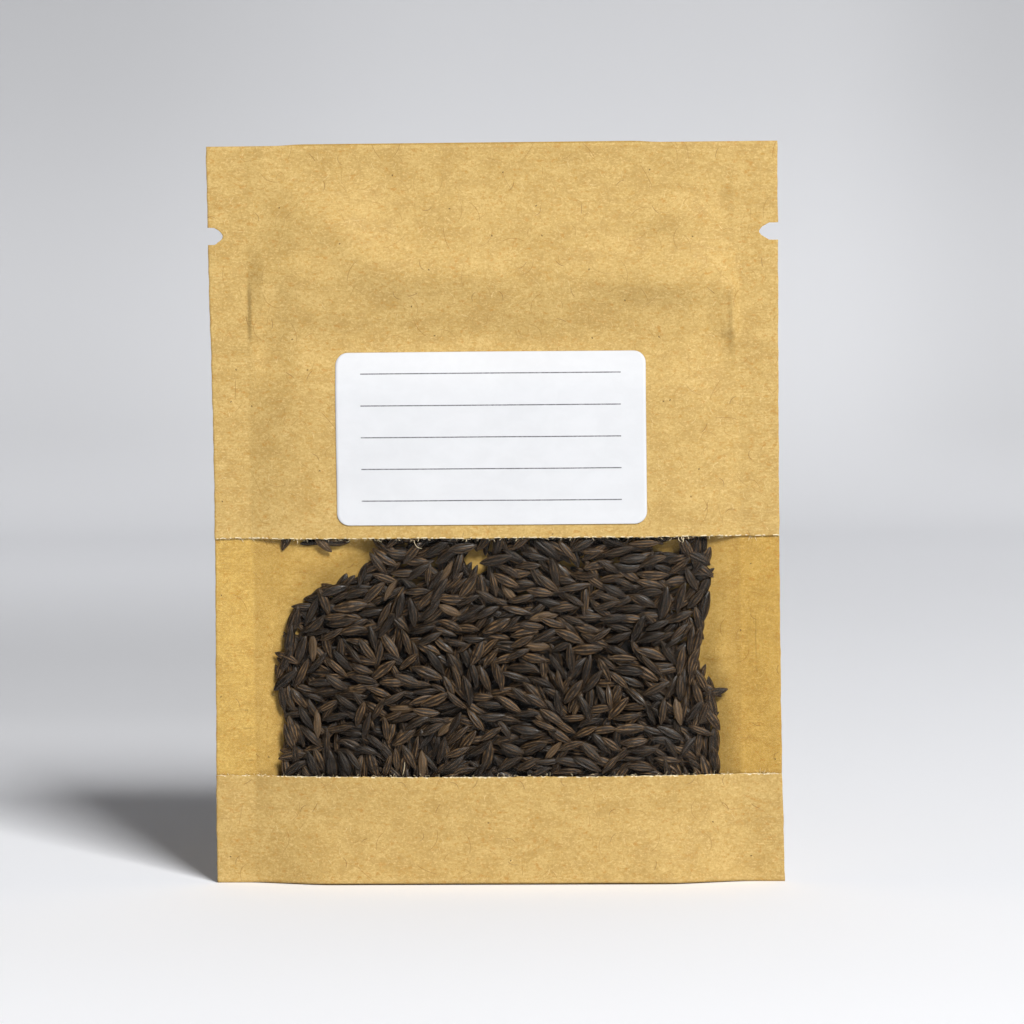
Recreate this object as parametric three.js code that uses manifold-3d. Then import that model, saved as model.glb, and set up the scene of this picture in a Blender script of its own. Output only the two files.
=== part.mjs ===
// A small upright kraft-paper packet of lettuce seeds with a clear window strip across its front,
// a press-to-close zip and a blank label. Millimetres, +Z up, the front faces -Y.
// The origin is on the ground, under the middle of the packet.

import * as THREE from "three";
import { mergeVertices } from "three/addons/utils/BufferGeometryUtils.js";
import Module from "manifold-3d";

const wasm = await Module();
wasm.setup();

// Driving dimensions of the packet
const PACKET_WIDTH = 70;
const PACKET_HEIGHT = 91;
const PAPER_THICKNESS = 0.3;
const FOLD_RADIUS = 0.45;
const FOLD_STEPS = 3;
const FOLD_END_LIFT = 0.7;
const SIDE_SEAL_WIDTH = 5;

// The window: a gap between two front papers with a clear film behind it
const WINDOW_BOTTOM = 13.1;
const WINDOW_TOP = 42.3;
const FILM_THICKNESS = 0.15;
const FILM_OVERLAP = 3.5;

// The press-to-close zip
const ZIP_BOTTOM = 66.2;
const ZIP_TOP = 75.5;
const ZIP_STEP = 0.6;
const ZIP_FLANGE_THICKNESS = 0.2;
const ZIP_RIB_HEIGHT = 70;
const ZIP_FULL_HALF_LENGTH = 26;
const RIB = { neck: 0.25, head: 0.5, tip: 0.2, headStart: 0, shoulder: 0.2, end: 0.42 };
const JAW = { inside: 0.62, outside: 0.95, lip: 0.37, mouth: 0.5, lipBack: -0.12, end: -0.42 };

// The tear notches, one on each side edge
const NOTCH_HEIGHT = 80;
const NOTCH_OPENING = 2.1;
const NOTCH_DEPTH_LEFT = 1.9;
const NOTCH_DEPTH_RIGHT = 2.3;
const NOTCH_STRAIGHT_SHARE = 0.45;
const NOTCH_BLUNTNESS = 0.7;

// The label, a standard small sticker
const LABEL_WIDTH = 38.1;
const LABEL_HEIGHT = 21.2;
const LABEL_CORNER = 1.5;
const LABEL_THICKNESS = 0.15;
const LABEL_MIDDLE = new THREE.Vector2(-0.55, 54.7);

// The seeds
const SEED_LENGTH = 3.7;
const SEED_WIDTH = 1.05;
const SEED_THICKNESS = 0.56;
const SEED_SIDES = 4;
const SEED_RINGS = [[0.3, 0.86], [0.66, 1]];
const SEED_SCALES = [0.88, 1.1];
const SEED_ANGLE_SPREAD = 0.35;
const FRONT_SEEDS = 180;
const BACK_SEEDS = 40;
const SEED_SPACING = 2.45;
const SEED_DRAW = 20;
const SEED_TRIES = 40000;

// Gaps between pieces that lie against each other
const SHEET_GAP = 0.1;

// Half the gap between the front and back papers, from the bottom up: [height, half gap]
const SEAL_HALF_GAP = 0.175;
const ZIP_SEAL_HALF_GAP = 0.4;
const ZIP_HALF_GAP = 0.875;
const POCKET_HALF_GAP = [
  [0, 2.65],
  [9, 2.7],
  [46, 0.95],
  [ZIP_BOTTOM, ZIP_HALF_GAP],
  [ZIP_TOP, ZIP_HALF_GAP],
  [PACKET_HEIGHT, 0.25],
];

const HALF_WIDTH = PACKET_WIDTH / 2;
const SEAL_EDGE = HALF_WIDTH - SIDE_SEAL_WIDTH;
const FILM_BOTTOM = WINDOW_BOTTOM - FILM_OVERLAP;
const FILM_TOP = WINDOW_TOP + FILM_OVERLAP;
const FILM_INSET = SHEET_GAP + FILM_THICKNESS;

// All sheets share these columns and rows, so that they stay parallel where they overlap.
const RIGHT_COLUMNS = [6, 12, 18, 22.5, ZIP_FULL_HALF_LENGTH, 28.5, SEAL_EDGE, HALF_WIDTH];
const COLUMNS = [...RIGHT_COLUMNS.map((x) => -x).reverse(), 0, ...RIGHT_COLUMNS];
const ROWS = [
  3, 6, FILM_BOTTOM, WINDOW_BOTTOM, 17, 22, 27, 32, 37, WINDOW_TOP, FILM_TOP, 50, 54.5, 59, 63,
  ZIP_BOTTOM - ZIP_STEP, ZIP_BOTTOM, ZIP_RIB_HEIGHT, ZIP_TOP, ZIP_TOP + ZIP_STEP, 80, 84, 88,
  PACKET_HEIGHT,
];

// Outline of the heap of seeds seen from the front, as points [x, z] on a smooth closed curve
const HEAP_OUTLINE = [
  [-22, 1.5], [-26, 6], [-26.4, 16], [-27, 24], [-26, 31], [-23, 35.5], [-18, 38.5],
  [-14, 42], [-9, 45.5], [2, 46.5], [15, 46], [24, 43.5], [26.4, 38], [25.2, 30],
  [26.6, 22], [26.8, 11], [25, 3.5], [20, 1.5],
];
const OUTLINE_STEPS = 36;
const CORE_RINGS = [0.5, 0.85, 1];
const CORE_INSET = 1.3;
const CORE_STAND_OUT = 0.25;
const HEAP_LIMITS = { left: -27.4, right: 27.2, low: 1.1, high: 47 };
const HEAP_MIDDLE = new THREE.Vector3(0, 0, 23);

const { clamp, smoothstep, lerp } = THREE.MathUtils;

// 0 over the even middle of the zip and of the fold, 1 at the side seals
function endShare(x) {
  return clamp((Math.abs(x) - ZIP_FULL_HALF_LENGTH) / (SEAL_EDGE - ZIP_FULL_HALF_LENGTH), 0, 1);
}

// The share of the pocket's fullness across the width: 1 in the middle, 0 at the side seals
function fullnessAcross(x, z) {
  const pocket = Math.max(0, 1 - (Math.abs(x) / SEAL_EDGE) ** 4);
  const zipShare = smoothstep(z, FILM_TOP, ZIP_BOTTOM) * (1 - smoothstep(z, ZIP_TOP, PACKET_HEIGHT));
  const foldShare = 1 - smoothstep(z, FOLD_RADIUS, FILM_BOTTOM);
  return lerp(pocket, 1 - endShare(x), Math.max(zipShare, foldShare));
}

// Half the gap in the middle of the width at height z
function pocketHalfGap(z) {
  const next = POCKET_HALF_GAP.findIndex(([height]) => height >= z);
  const [lowHeight, lowGap] = POCKET_HALF_GAP[Math.max(0, next - 1)];
  const [highHeight, highGap] = POCKET_HALF_GAP[next];
  return lerp(lowGap, highGap, smoothstep(z, lowHeight, highHeight + 1e-9));
}

// Half the gap inside the side seals, wider where both zip flanges run through
function sealHalfGap(z) {
  const rise = clamp((z - ZIP_BOTTOM + ZIP_STEP) / ZIP_STEP, 0, 1);
  const fall = clamp((ZIP_TOP + ZIP_STEP - z) / ZIP_STEP, 0, 1);
  return lerp(SEAL_HALF_GAP, ZIP_SEAL_HALF_GAP, Math.min(rise, fall));
}

// Half the gap between the inner faces of the front and back papers
function halfGap(x, z) {
  return lerp(sealHalfGap(z), pocketHalfGap(z), fullnessAcross(x, z));
}

// A geometry from points and triangles, turned so that its faces point out
function closedGeometry(points, triangles) {
  const [a, b, c] = [new THREE.Vector3(), new THREE.Vector3(), new THREE.Vector3()];
  let volume = 0;
  for (const [i, j, k] of triangles) {
    a.fromArray(points[i]);
    b.fromArray(points[j]);
    c.fromArray(points[k]);
    volume += a.dot(b.cross(c));
  }
  const facing = volume > 0 ? triangles : triangles.map(([i, j, k]) => [i, k, j]);
  const geometry = new THREE.BufferGeometry();
  geometry.setAttribute("position", new THREE.Float32BufferAttribute(points.flat(), 3));
  geometry.setIndex(facing.flat());
  return geometry;
}

// A closed sheet between two faces, each a grid of points over the same rows and columns
function sheetGeometry(outerFace, innerFace) {
  const rows = outerFace.length;
  const columns = outerFace[0].length;
  const points = [...outerFace.flat(), ...innerFace.flat()];
  const at = (side, row, column) => (side * rows + row) * columns + column;
  const triangles = [];
  const quad = (a, b, c, d) => triangles.push([a, b, c], [a, c, d]);
  const lastRow = rows - 1;
  const lastColumn = columns - 1;
  for (let r = 0; r < lastRow; r += 1) {
    for (let c = 0; c < lastColumn; c += 1) {
      quad(at(0, r, c), at(0, r, c + 1), at(0, r + 1, c + 1), at(0, r + 1, c));
      quad(at(1, r, c), at(1, r + 1, c), at(1, r + 1, c + 1), at(1, r, c + 1));
    }
    quad(at(0, r, 0), at(0, r + 1, 0), at(1, r + 1, 0), at(1, r, 0));
    quad(at(0, r + 1, lastColumn), at(0, r, lastColumn), at(1, r, lastColumn), at(1, r + 1, lastColumn));
  }
  for (let c = 0; c < lastColumn; c += 1) {
    quad(at(0, 0, c + 1), at(0, 0, c), at(1, 0, c), at(1, 0, c + 1));
    quad(at(0, lastRow, c), at(0, lastRow, c + 1), at(1, lastRow, c + 1), at(1, lastRow, c));
  }
  return closedGeometry(points, triangles);
}

// A wall of the packet between two heights: side -1 is the front and +1 the back.
// offset is how far the face lies outside the paper's inner face.
function wallFace(side, low, high, offset) {
  const rows = ROWS.filter((z) => z >= low && z <= high);
  return rows.map((z) => COLUMNS.map((x) => [x, side * (halfGap(x, z) + offset), z]));
}

function wallGeometry(side, low, high, innerOffset, outerOffset) {
  return sheetGeometry(wallFace(side, low, high, outerOffset), wallFace(side, low, high, innerOffset));
}

// Rows of the bottom fold, from the back round to the front, at a depth into the paper.
// Its middle is flat and level, and both ends rise a little.
function foldFace(depth) {
  const quarter = Math.PI / 2;
  const corners = [];
  for (const side of [1, -1]) {
    for (let step = 0; step <= FOLD_STEPS; step += 1) {
      const turn = (quarter * step) / FOLD_STEPS;
      corners.push([side, side > 0 ? turn : quarter - turn]);
    }
  }
  return corners.map(([side, turn]) => COLUMNS.map((x) => {
    const reach = halfGap(x, FOLD_RADIUS) + PAPER_THICKNESS;
    const radius = Math.min(FOLD_RADIUS, reach - 0.05);
    const y = side * (reach - radius + (radius - depth) * Math.cos(turn));
    const lift = FOLD_END_LIFT * endShare(x);
    return [x, y, lift + radius - (radius - depth) * Math.sin(turn)];
  }));
}

// Booleans
function toSolid(geometry) {
  const bare = geometry.clone();
  bare.deleteAttribute("normal");
  bare.deleteAttribute("uv");
  const merged = mergeVertices(bare, 1e-4);
  return new wasm.Manifold(new wasm.Mesh({
    numProp: 3,
    vertProperties: Float32Array.from(merged.attributes.position.array),
    triVerts: Uint32Array.from(merged.index.array),
  }));
}

function fromSolid(solid) {
  const { vertProperties, triVerts } = solid.getMesh();
  const geometry = new THREE.BufferGeometry();
  geometry.setAttribute("position", new THREE.Float32BufferAttribute(vertProperties, 3));
  geometry.setIndex(Array.from(triVerts));
  return geometry;
}

const AXIS_X = new THREE.Vector3(1, 0, 0);
const AXIS_Y = new THREE.Vector3(0, 1, 0);
const AXIS_Z = new THREE.Vector3(0, 0, 1);
const CUTTER_LENGTH = 10;

// A prism whose outline [y, z] is drawn from the side, centred on x = 0
function prismAlongX(outline, length) {
  const shape = new THREE.Shape(outline.map(([y, z]) => new THREE.Vector2(y, z)));
  const prism = new THREE.ExtrudeGeometry(shape, { depth: length, bevelEnabled: false });
  prism.translate(0, 0, -length / 2);
  return prism.applyMatrix4(new THREE.Matrix4().makeBasis(AXIS_Y, AXIS_Z, AXIS_X));
}

// A prism whose outline is drawn from the front, centred on y = 0
function prismAlongY(shape, length) {
  const prism = new THREE.ExtrudeGeometry(shape, { depth: length, bevelEnabled: false, curveSegments: 4 });
  prism.translate(0, 0, -length / 2);
  return prism.applyMatrix4(new THREE.Matrix4().makeBasis(AXIS_X, AXIS_Z, AXIS_Y.clone().negate()));
}

// The cutter of one tear notch: flat sides that close to a blunt point
function notchCutter(side, depth) {
  const outside = HALF_WIDTH + 1;
  const half = NOTCH_OPENING / 2;
  const shoulder = HALF_WIDTH - depth * NOTCH_STRAIGHT_SHARE;
  const tip = HALF_WIDTH - depth;
  const blunt = half * NOTCH_BLUNTNESS;
  const shape = new THREE.Shape();
  shape.moveTo(side * outside, NOTCH_HEIGHT - half);
  shape.lineTo(side * shoulder, NOTCH_HEIGHT - half);
  shape.quadraticCurveTo(side * tip, NOTCH_HEIGHT - blunt, side * tip, NOTCH_HEIGHT);
  shape.quadraticCurveTo(side * tip, NOTCH_HEIGHT + blunt, side * shoulder, NOTCH_HEIGHT + half);
  shape.lineTo(side * outside, NOTCH_HEIGHT + half);
  return toSolid(prismAlongY(shape, CUTTER_LENGTH));
}

function cutNotches(geometry) {
  const left = notchCutter(-1, NOTCH_DEPTH_LEFT);
  const right = notchCutter(1, NOTCH_DEPTH_RIGHT);
  return fromSolid(toSolid(geometry).subtract(left).subtract(right));
}

// Back panel, bottom fold and lower front band: one sheet folded under the seeds
function foldedSheet() {
  const face = (offset, depth) => [
    ...wallFace(1, 0, PACKET_HEIGHT, offset).reverse(),
    ...foldFace(depth),
    ...wallFace(-1, 0, WINDOW_BOTTOM, offset),
  ];
  return cutNotches(sheetGeometry(face(PAPER_THICKNESS, 0), face(0, PAPER_THICKNESS)));
}

// The front paper from the window's top edge to the mouth
function upperFrontSheet() {
  return cutNotches(wallGeometry(-1, WINDOW_TOP, PACKET_HEIGHT, 0, PAPER_THICKNESS));
}

// The clear film lies behind both front papers.
function windowFilm() {
  return wallGeometry(-1, FILM_BOTTOM, FILM_TOP, -FILM_INSET, -SHEET_GAP);
}

// A flange of the zip, flat against the inside of one paper over the full width
function zipFlange(side) {
  const flange = wallGeometry(side, ZIP_BOTTOM, ZIP_TOP, -SHEET_GAP - ZIP_FLANGE_THICKNESS, -SHEET_GAP);
  return toSolid(flange);
}

// Depth at which rib and jaws start, inside their flanges
const ZIP_ROOT = ZIP_HALF_GAP - SHEET_GAP - ZIP_FLANGE_THICKNESS / 2;
const ZIP_LENGTH = 2 * ZIP_FULL_HALF_LENGTH - 0.4;

// The rib: a neck with an arrow head that points to the back
function zipRibStrip() {
  const half = [
    [-ZIP_ROOT, RIB.neck], [RIB.headStart, RIB.neck], [RIB.headStart, RIB.head],
    [RIB.shoulder, RIB.head], [RIB.end, RIB.tip],
  ];
  const outline = [
    ...half.map(([y, z]) => [y, ZIP_RIB_HEIGHT - z]),
    ...half.map(([y, z]) => [y, ZIP_RIB_HEIGHT + z]).reverse(),
  ];
  return fromSolid(zipFlange(-1).add(toSolid(prismAlongX(outline, ZIP_LENGTH))));
}

// The two jaws that hook over the rib's head
function zipGrooveStrip() {
  const jaw = [
    [ZIP_ROOT, JAW.inside], [JAW.lipBack, JAW.inside], [JAW.lipBack, JAW.lip],
    [JAW.end, JAW.mouth], [JAW.end, JAW.outside], [ZIP_ROOT, JAW.outside],
  ];
  const upper = jaw.map(([y, z]) => [y, ZIP_RIB_HEIGHT + z]);
  const lower = jaw.map(([y, z]) => [y, ZIP_RIB_HEIGHT - z]);
  return fromSolid(zipFlange(1)
    .add(toSolid(prismAlongX(upper, ZIP_LENGTH)))
    .add(toSolid(prismAlongX(lower, ZIP_LENGTH))));
}

// The label: a thin sheet that follows the front paper, cut to a rounded rectangle
function label() {
  const low = LABEL_MIDDLE.y - LABEL_HEIGHT / 2;
  const high = LABEL_MIDDLE.y + LABEL_HEIGHT / 2;
  const near = PAPER_THICKNESS + SHEET_GAP;
  const blank = wallGeometry(-1, WINDOW_TOP, ZIP_BOTTOM, near, near + LABEL_THICKNESS);
  const left = LABEL_MIDDLE.x - LABEL_WIDTH / 2;
  const right = LABEL_MIDDLE.x + LABEL_WIDTH / 2;
  const corner = LABEL_CORNER;
  const shape = new THREE.Shape();
  shape.moveTo(left + corner, low);
  shape.absarc(right - corner, low + corner, corner, -Math.PI / 2, 0);
  shape.absarc(right - corner, high - corner, corner, 0, Math.PI / 2);
  shape.absarc(left + corner, high - corner, corner, Math.PI / 2, Math.PI);
  shape.absarc(left + corner, low + corner, corner, Math.PI, Math.PI * 1.5);
  return fromSolid(toSolid(blank).intersect(toSolid(prismAlongY(shape, CUTTER_LENGTH))));
}

const heapCurve = new THREE.CatmullRomCurve3(
  HEAP_OUTLINE.map(([x, z]) => new THREE.Vector3(x, 0, z)),
  true,
);
const heapOutline = heapCurve.getSpacedPoints(OUTLINE_STEPS).slice(0, OUTLINE_STEPS);

// Whether a point seen from the front lies inside the heap's outline
function insideHeap(x, z) {
  let inside = false;
  heapOutline.forEach((a, i) => {
    const b = heapOutline[(i + 1) % OUTLINE_STEPS];
    if ((a.z > z) !== (b.z > z) && x < a.x + ((z - a.z) / (b.z - a.z)) * (b.x - a.x)) {
      inside = !inside;
    }
  });
  return inside;
}

// How deep the seeds' space reaches at a point: towards the film in front, the paper behind
function seedReach(side, x, z) {
  const film = side < 0 ? FILM_INSET : 0;
  return halfGap(x, Math.max(z, FOLD_RADIUS)) - film - SHEET_GAP;
}

// The core of the heap: a lens between front and back faces that meet its rim
function heapCore() {
  const points = [];
  const triangles = [];
  const faceAt = (side, x, z) => [x, side * (seedReach(side, x, z) - CORE_STAND_OUT), z];
  const ringPoint = (outlinePoint, share) => {
    const radius = outlinePoint.distanceTo(HEAP_MIDDLE) - CORE_INSET;
    return HEAP_MIDDLE.clone().lerp(outlinePoint, (share * radius) / (radius + CORE_INSET));
  };
  for (const side of [-1, 1]) {
    points.push(faceAt(side, HEAP_MIDDLE.x, HEAP_MIDDLE.z));
    for (const share of CORE_RINGS) {
      for (const outlinePoint of heapOutline) {
        const { x, z } = ringPoint(outlinePoint, share);
        points.push(faceAt(side, x, z));
      }
    }
  }
  const perSide = 1 + CORE_RINGS.length * OUTLINE_STEPS;
  const at = (side, ring, i) => side * perSide + 1 + ring * OUTLINE_STEPS + (i % OUTLINE_STEPS);
  const triangle = (side, a, b, c) => triangles.push(side ? [a, c, b] : [a, b, c]);
  for (let i = 0; i < OUTLINE_STEPS; i += 1) {
    for (const side of [0, 1]) {
      triangle(side, side * perSide, at(side, 0, i), at(side, 0, i + 1));
      for (let ring = 0; ring + 1 < CORE_RINGS.length; ring += 1) {
        triangle(side, at(side, ring, i), at(side, ring + 1, i), at(side, ring + 1, i + 1));
        triangle(side, at(side, ring, i), at(side, ring + 1, i + 1), at(side, ring, i + 1));
      }
    }
    const rim = CORE_RINGS.length - 1;
    triangles.push([at(0, rim, i), at(1, rim, i), at(1, rim, i + 1)]);
    triangles.push([at(0, rim, i), at(1, rim, i + 1), at(0, rim, i + 1)]);
  }
  return toSolid(closedGeometry(points, triangles));
}

// The way the seeds lie at a point: bundles that swirl slowly over the heap
function layAngle(x, z) {
  return 1.1 * Math.sin(x / 6.5 + z / 13) + 1.3 * Math.cos(z / 5.5 - x / 12) + 0.4;
}

// One seed from tip to tip: a flat spindle, widest a little past its middle
function seedSolid(root, beak, scale) {
  const along = beak.clone().sub(root).normalize();
  const across = new THREE.Vector3().crossVectors(along, AXIS_Y).normalize();
  const out = new THREE.Vector3().crossVectors(across, along);
  const points = [root.toArray()];
  for (const [share, fullness] of SEED_RINGS) {
    for (let i = 0; i < SEED_SIDES; i += 1) {
      const turn = (2 * Math.PI * i) / SEED_SIDES;
      const point = root.clone().lerp(beak, share);
      point.addScaledVector(across, Math.cos(turn) * fullness * scale * SEED_WIDTH / 2);
      point.addScaledVector(out, Math.sin(turn) * fullness * scale * SEED_THICKNESS / 2);
      points.push(point.toArray());
    }
  }
  points.push(beak.toArray());
  const last = points.length - 1;
  const triangles = [];
  for (let i = 0; i < SEED_SIDES; i += 1) {
    const next = (i + 1) % SEED_SIDES;
    const [a, b] = [1 + i, 1 + next];
    const [c, d] = [a + SEED_SIDES, b + SEED_SIDES];
    triangles.push([0, b, a], [a, b, d], [a, d, c], [c, d, last]);
  }
  return toSolid(closedGeometry(points, triangles));
}

// Places for seeds on one face of the heap, spread evenly inside its outline
function seedPlaces(count) {
  const places = [];
  const random = THREE.MathUtils.seededRandom;
  for (let attempt = 0; attempt < SEED_TRIES && places.length < count; attempt += 1) {
    const x = lerp(HEAP_LIMITS.left, HEAP_LIMITS.right, random());
    const z = lerp(HEAP_LIMITS.low, HEAP_LIMITS.high, random());
    const near = places.some((p) => Math.hypot(p.x - x, p.z - z) < SEED_SPACING);
    if (!near && insideHeap(x, z)) {
      places.push({ x, z });
    }
  }
  return places;
}

// A seed that lies against the film or the back paper, half sunk in the core
function layingSeed(side, { x, z }) {
  const random = THREE.MathUtils.seededRandom;
  const angle = layAngle(x, z) + lerp(-SEED_ANGLE_SPREAD, SEED_ANGLE_SPREAD, random());
  const scale = lerp(...SEED_SCALES, random());
  const half = (SEED_LENGTH * scale) / 2;
  const tip = (sign) => {
    const tipX = clamp(x + sign * half * Math.cos(angle), HEAP_LIMITS.left, HEAP_LIMITS.right);
    const tipZ = clamp(z + sign * half * Math.sin(angle), HEAP_LIMITS.low, HEAP_LIMITS.high);
    const y = side * (seedReach(side, tipX, tipZ) - (scale * SEED_THICKNESS) / 2);
    return new THREE.Vector3(tipX, y, tipZ);
  };
  return seedSolid(tip(-1), tip(1), scale);
}

// The heap: seeds all over a smaller core, joined in one body
function lettuceSeeds() {
  THREE.MathUtils.seededRandom(SEED_DRAW);
  const front = seedPlaces(FRONT_SEEDS).map((place) => layingSeed(-1, place));
  const back = seedPlaces(BACK_SEEDS).map((place) => layingSeed(1, place));
  const heap = wasm.Manifold.union([heapCore(), ...front, ...back]);
  const bodies = heap.decompose().sort((a, b) => b.volume() - a.volume());
  return fromSolid(bodies[0]);
}

// Materials
function standard(color, roughness, extra = {}) {
  return new THREE.MeshStandardMaterial({ color, roughness, metalness: 0, ...extra });
}

const kraftPaper = standard(0xd3ae6a, 0.85);
const clearFilm = standard(0xf4f2ee, 0.12, { transparent: true, opacity: 0.12 });
const clearPlastic = standard(0xe9e7df, 0.35, { transparent: true, opacity: 0.6 });
const labelPaper = standard(0xeef0f3, 0.4);
const seedSkin = standard(0x342a20, 0.6);

const packet = new THREE.Group();

function place(name, geometry, material) {
  const mesh = new THREE.Mesh(geometry, material);
  mesh.name = name;
  packet.add(mesh);
}

place("folded_kraft_sheet", foldedSheet(), kraftPaper);
place("upper_front_kraft_sheet", upperFrontSheet(), kraftPaper);
place("window_film", windowFilm(), clearFilm);
place("zip_rib_strip", zipRibStrip(), clearPlastic);
place("zip_groove_strip", zipGrooveStrip(), clearPlastic);
place("label", label(), labelPaper);
place("lettuce_seeds", lettuceSeeds(), seedSkin);

export default packet;
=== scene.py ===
"""A small upright kraft-paper packet of lettuce seeds, with a clear window, a zip and a blank label.

The packet stands on its bottom fold and its front faces -Y. Sizes in this file are millimetres
unless a name says otherwise, and meshes are written in metres.
"""

import math

import bpy
import numpy as np
from bpy.props import FloatProperty, FloatVectorProperty, IntProperty, PointerProperty
from mathutils import Matrix, Vector


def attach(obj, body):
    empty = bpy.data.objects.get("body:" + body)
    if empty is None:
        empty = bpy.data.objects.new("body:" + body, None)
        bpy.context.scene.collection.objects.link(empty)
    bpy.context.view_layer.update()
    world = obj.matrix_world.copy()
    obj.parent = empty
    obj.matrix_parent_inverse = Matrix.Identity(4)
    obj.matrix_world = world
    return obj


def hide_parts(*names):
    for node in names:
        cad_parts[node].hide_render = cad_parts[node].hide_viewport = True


bl_info = {
    "name": "Window seed packet",
    "version": (1, 0, 0),
    "blender": (4, 5, 0),
    "location": "3D View > Sidebar > Packet",
    "description": "Builds a kraft-paper seed packet with a clear window and lettuce seeds inside",
    "category": "Add Mesh",
}

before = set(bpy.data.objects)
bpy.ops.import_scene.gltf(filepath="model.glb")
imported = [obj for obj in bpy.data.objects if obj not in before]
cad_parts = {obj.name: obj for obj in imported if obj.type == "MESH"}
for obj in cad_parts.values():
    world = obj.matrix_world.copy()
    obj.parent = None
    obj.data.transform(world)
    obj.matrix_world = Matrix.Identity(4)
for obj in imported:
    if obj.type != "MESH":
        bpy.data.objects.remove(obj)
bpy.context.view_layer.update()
MM = 0.001

# The packet's outline and its parts' places, as in the solids. Only the window's two edges and the
# label sit 0.3 to 0.45 mm higher than there, and the paper is thinner: CAD_PAPER is the solids'
# thickness, and THIN_PAPER the one here.
HALF_WIDTH = 35.0
PACKET_HEIGHT = 91.0
SEAL_EDGE = 30.0
WINDOW_BOTTOM = 13.4
WINDOW_TOP = 42.75
FILM_BOTTOM = 9.6
FILM_TOP = 45.8
ZIP_BOTTOM = 66.2
ZIP_TOP = 75.5
ZIP_RIB_HEIGHT = 70.0
ZIP_HALF_LENGTH = 25.8
NOTCH_HEIGHT = 80.0
NOTCH_HALF_OPENING = 1.05
NOTCH_BLUNTNESS = 0.42
NOTCH_STRAIGHT_SHARE = 0.45
NOTCH_DEPTHS = {-1: 1.9, 1: 2.3}
LABEL_MIDDLE = (-0.3, 55.0)
LABEL_SIZE = (38.1, 21.2)
LABEL_CORNER = 1.5
RULES = 5
RULE_HALF_LENGTH = 16.0
FIRST_RULE_DROP = 2.6
CAD_PAPER = 0.3
THIN_PAPER = 0.15
FOLD_RADIUS = 0.45
POCKET_HALF_GAP = [(0, 2.65), (9, 2.7), (46, 0.95), (66.2, 0.875), (75.5, 0.875), (91, 0.25)]

# Outline of the heap of seeds seen from the front
HEAP_OUTLINE = [
    (-22, 1.5), (-26, 6), (-26.4, 14), (-26.6, 22), (-27.2, 25.4), (-26, 31), (-24.3, 34.4),
    (-18.7, 37.6), (-15.6, 39.4), (-14.2, 42.5), (-12, 45.5), (2, 46.5), (18, 46.4),
    (25.6, 44.5), (26.3, 38.6), (26, 34.7), (25, 30), (24.5, 27.3), (26.6, 23.6),
    (26.8, 20), (26.9, 12), (25, 3.5), (20, 1.5),
]

# How the seeds lie in bundles: place across, height, and the direction of their length in degrees
SEED_BUNDLES = [
    (-19.2, 36, 28), (-10.5, 40.3, 3), (-4.2, 38.7, 75), (-13.3, 29.9, 85), (-18.4, 31, 3),
    (-18.6, 27.3, -40), (-24.7, 26.6, 88), (-21.2, 24.6, -5), (-17.5, 23.2, -38), (-12.6, 23.9, -15),
    (-7, 25.5, -52), (-4, 32.2, -8), (-3.3, 27.3, 82), (-10.3, 20.6, 0), (-19.6, 19.7, 35),
    (-23.7, 17.6, -65), (-15.4, 16.2, -52), (-10.7, 17.7, 80), (-1.7, 16.9, 22), (-8.2, 36, 25),
    (-5.8, 21.5, 15), (1.5, 39.3, -60), (5.8, 34.1, 3), (2, 29.8, 30), (13.3, 38.1, -22),
    (17.5, 36, 2), (17.1, 33.1, 0), (14.7, 30.5, -14), (21.8, 31.7, 38), (25.3, 33.6, 78),
    (20.9, 26.6, -45), (24, 25.6, 65), (5, 24.7, -38), (10.2, 24.2, 75), (15.9, 25.1, -50),
    (14.5, 21.6, 28), (19.4, 18.8, -40), (23.7, 20.4, 82), (26, 16.6, -68), (2, 17.9, 8),
    (9, 17.4, -5), (15.7, 16.9, 35), (20.4, 16.2, -12), (2.9, 21.6, -35),
]
BUNDLE_REACH = 2.4

# The heap's filled core: its depth under the film, and the depth that stands for no core
CORE_DEPTH = 1.9
NO_CORE = 99.0

# Places where the paper shows between the seeds: x, z and half sizes
BARE_GAPS = [
    (-2.1, 40.2, 1.2, 1.5), (9, 39.3, 1.2, 0.8), (20.8, 41.3, 1.6, 0.7), (17.2, 29.4, 0.8, 0.3),
    (22.5, 22.7, 1.6, 0.4),
]

# Single seeds at the heap's rim: x, z and direction in degrees
STRAY_SEEDS = [
    (-25.6, 30.2, 80), (-25.9, 27.9, 67), (-26.1, 25.2, 40), (-25.3, 19.2, -75), (-25.4, 15.8, 10),
    (-24.9, 14.2, 35), (-25.8, 42.9, 72), (-22.4, 42.3, 8), (-19.9, 42.5, -6), (-21.3, 42.4, -48),
    (26.7, 23.5, 12), (26.4, 20.2, -55), (25, 25.4, 65), (24.4, 27.3, 70), (25.8, 34, 78),
    (24.7, 29.8, 75), (25.4, 38.8, -40), (26.6, 15.4, -80), (23.2, 41.8, -70), (24.8, 39.9, -25),
]

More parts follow.
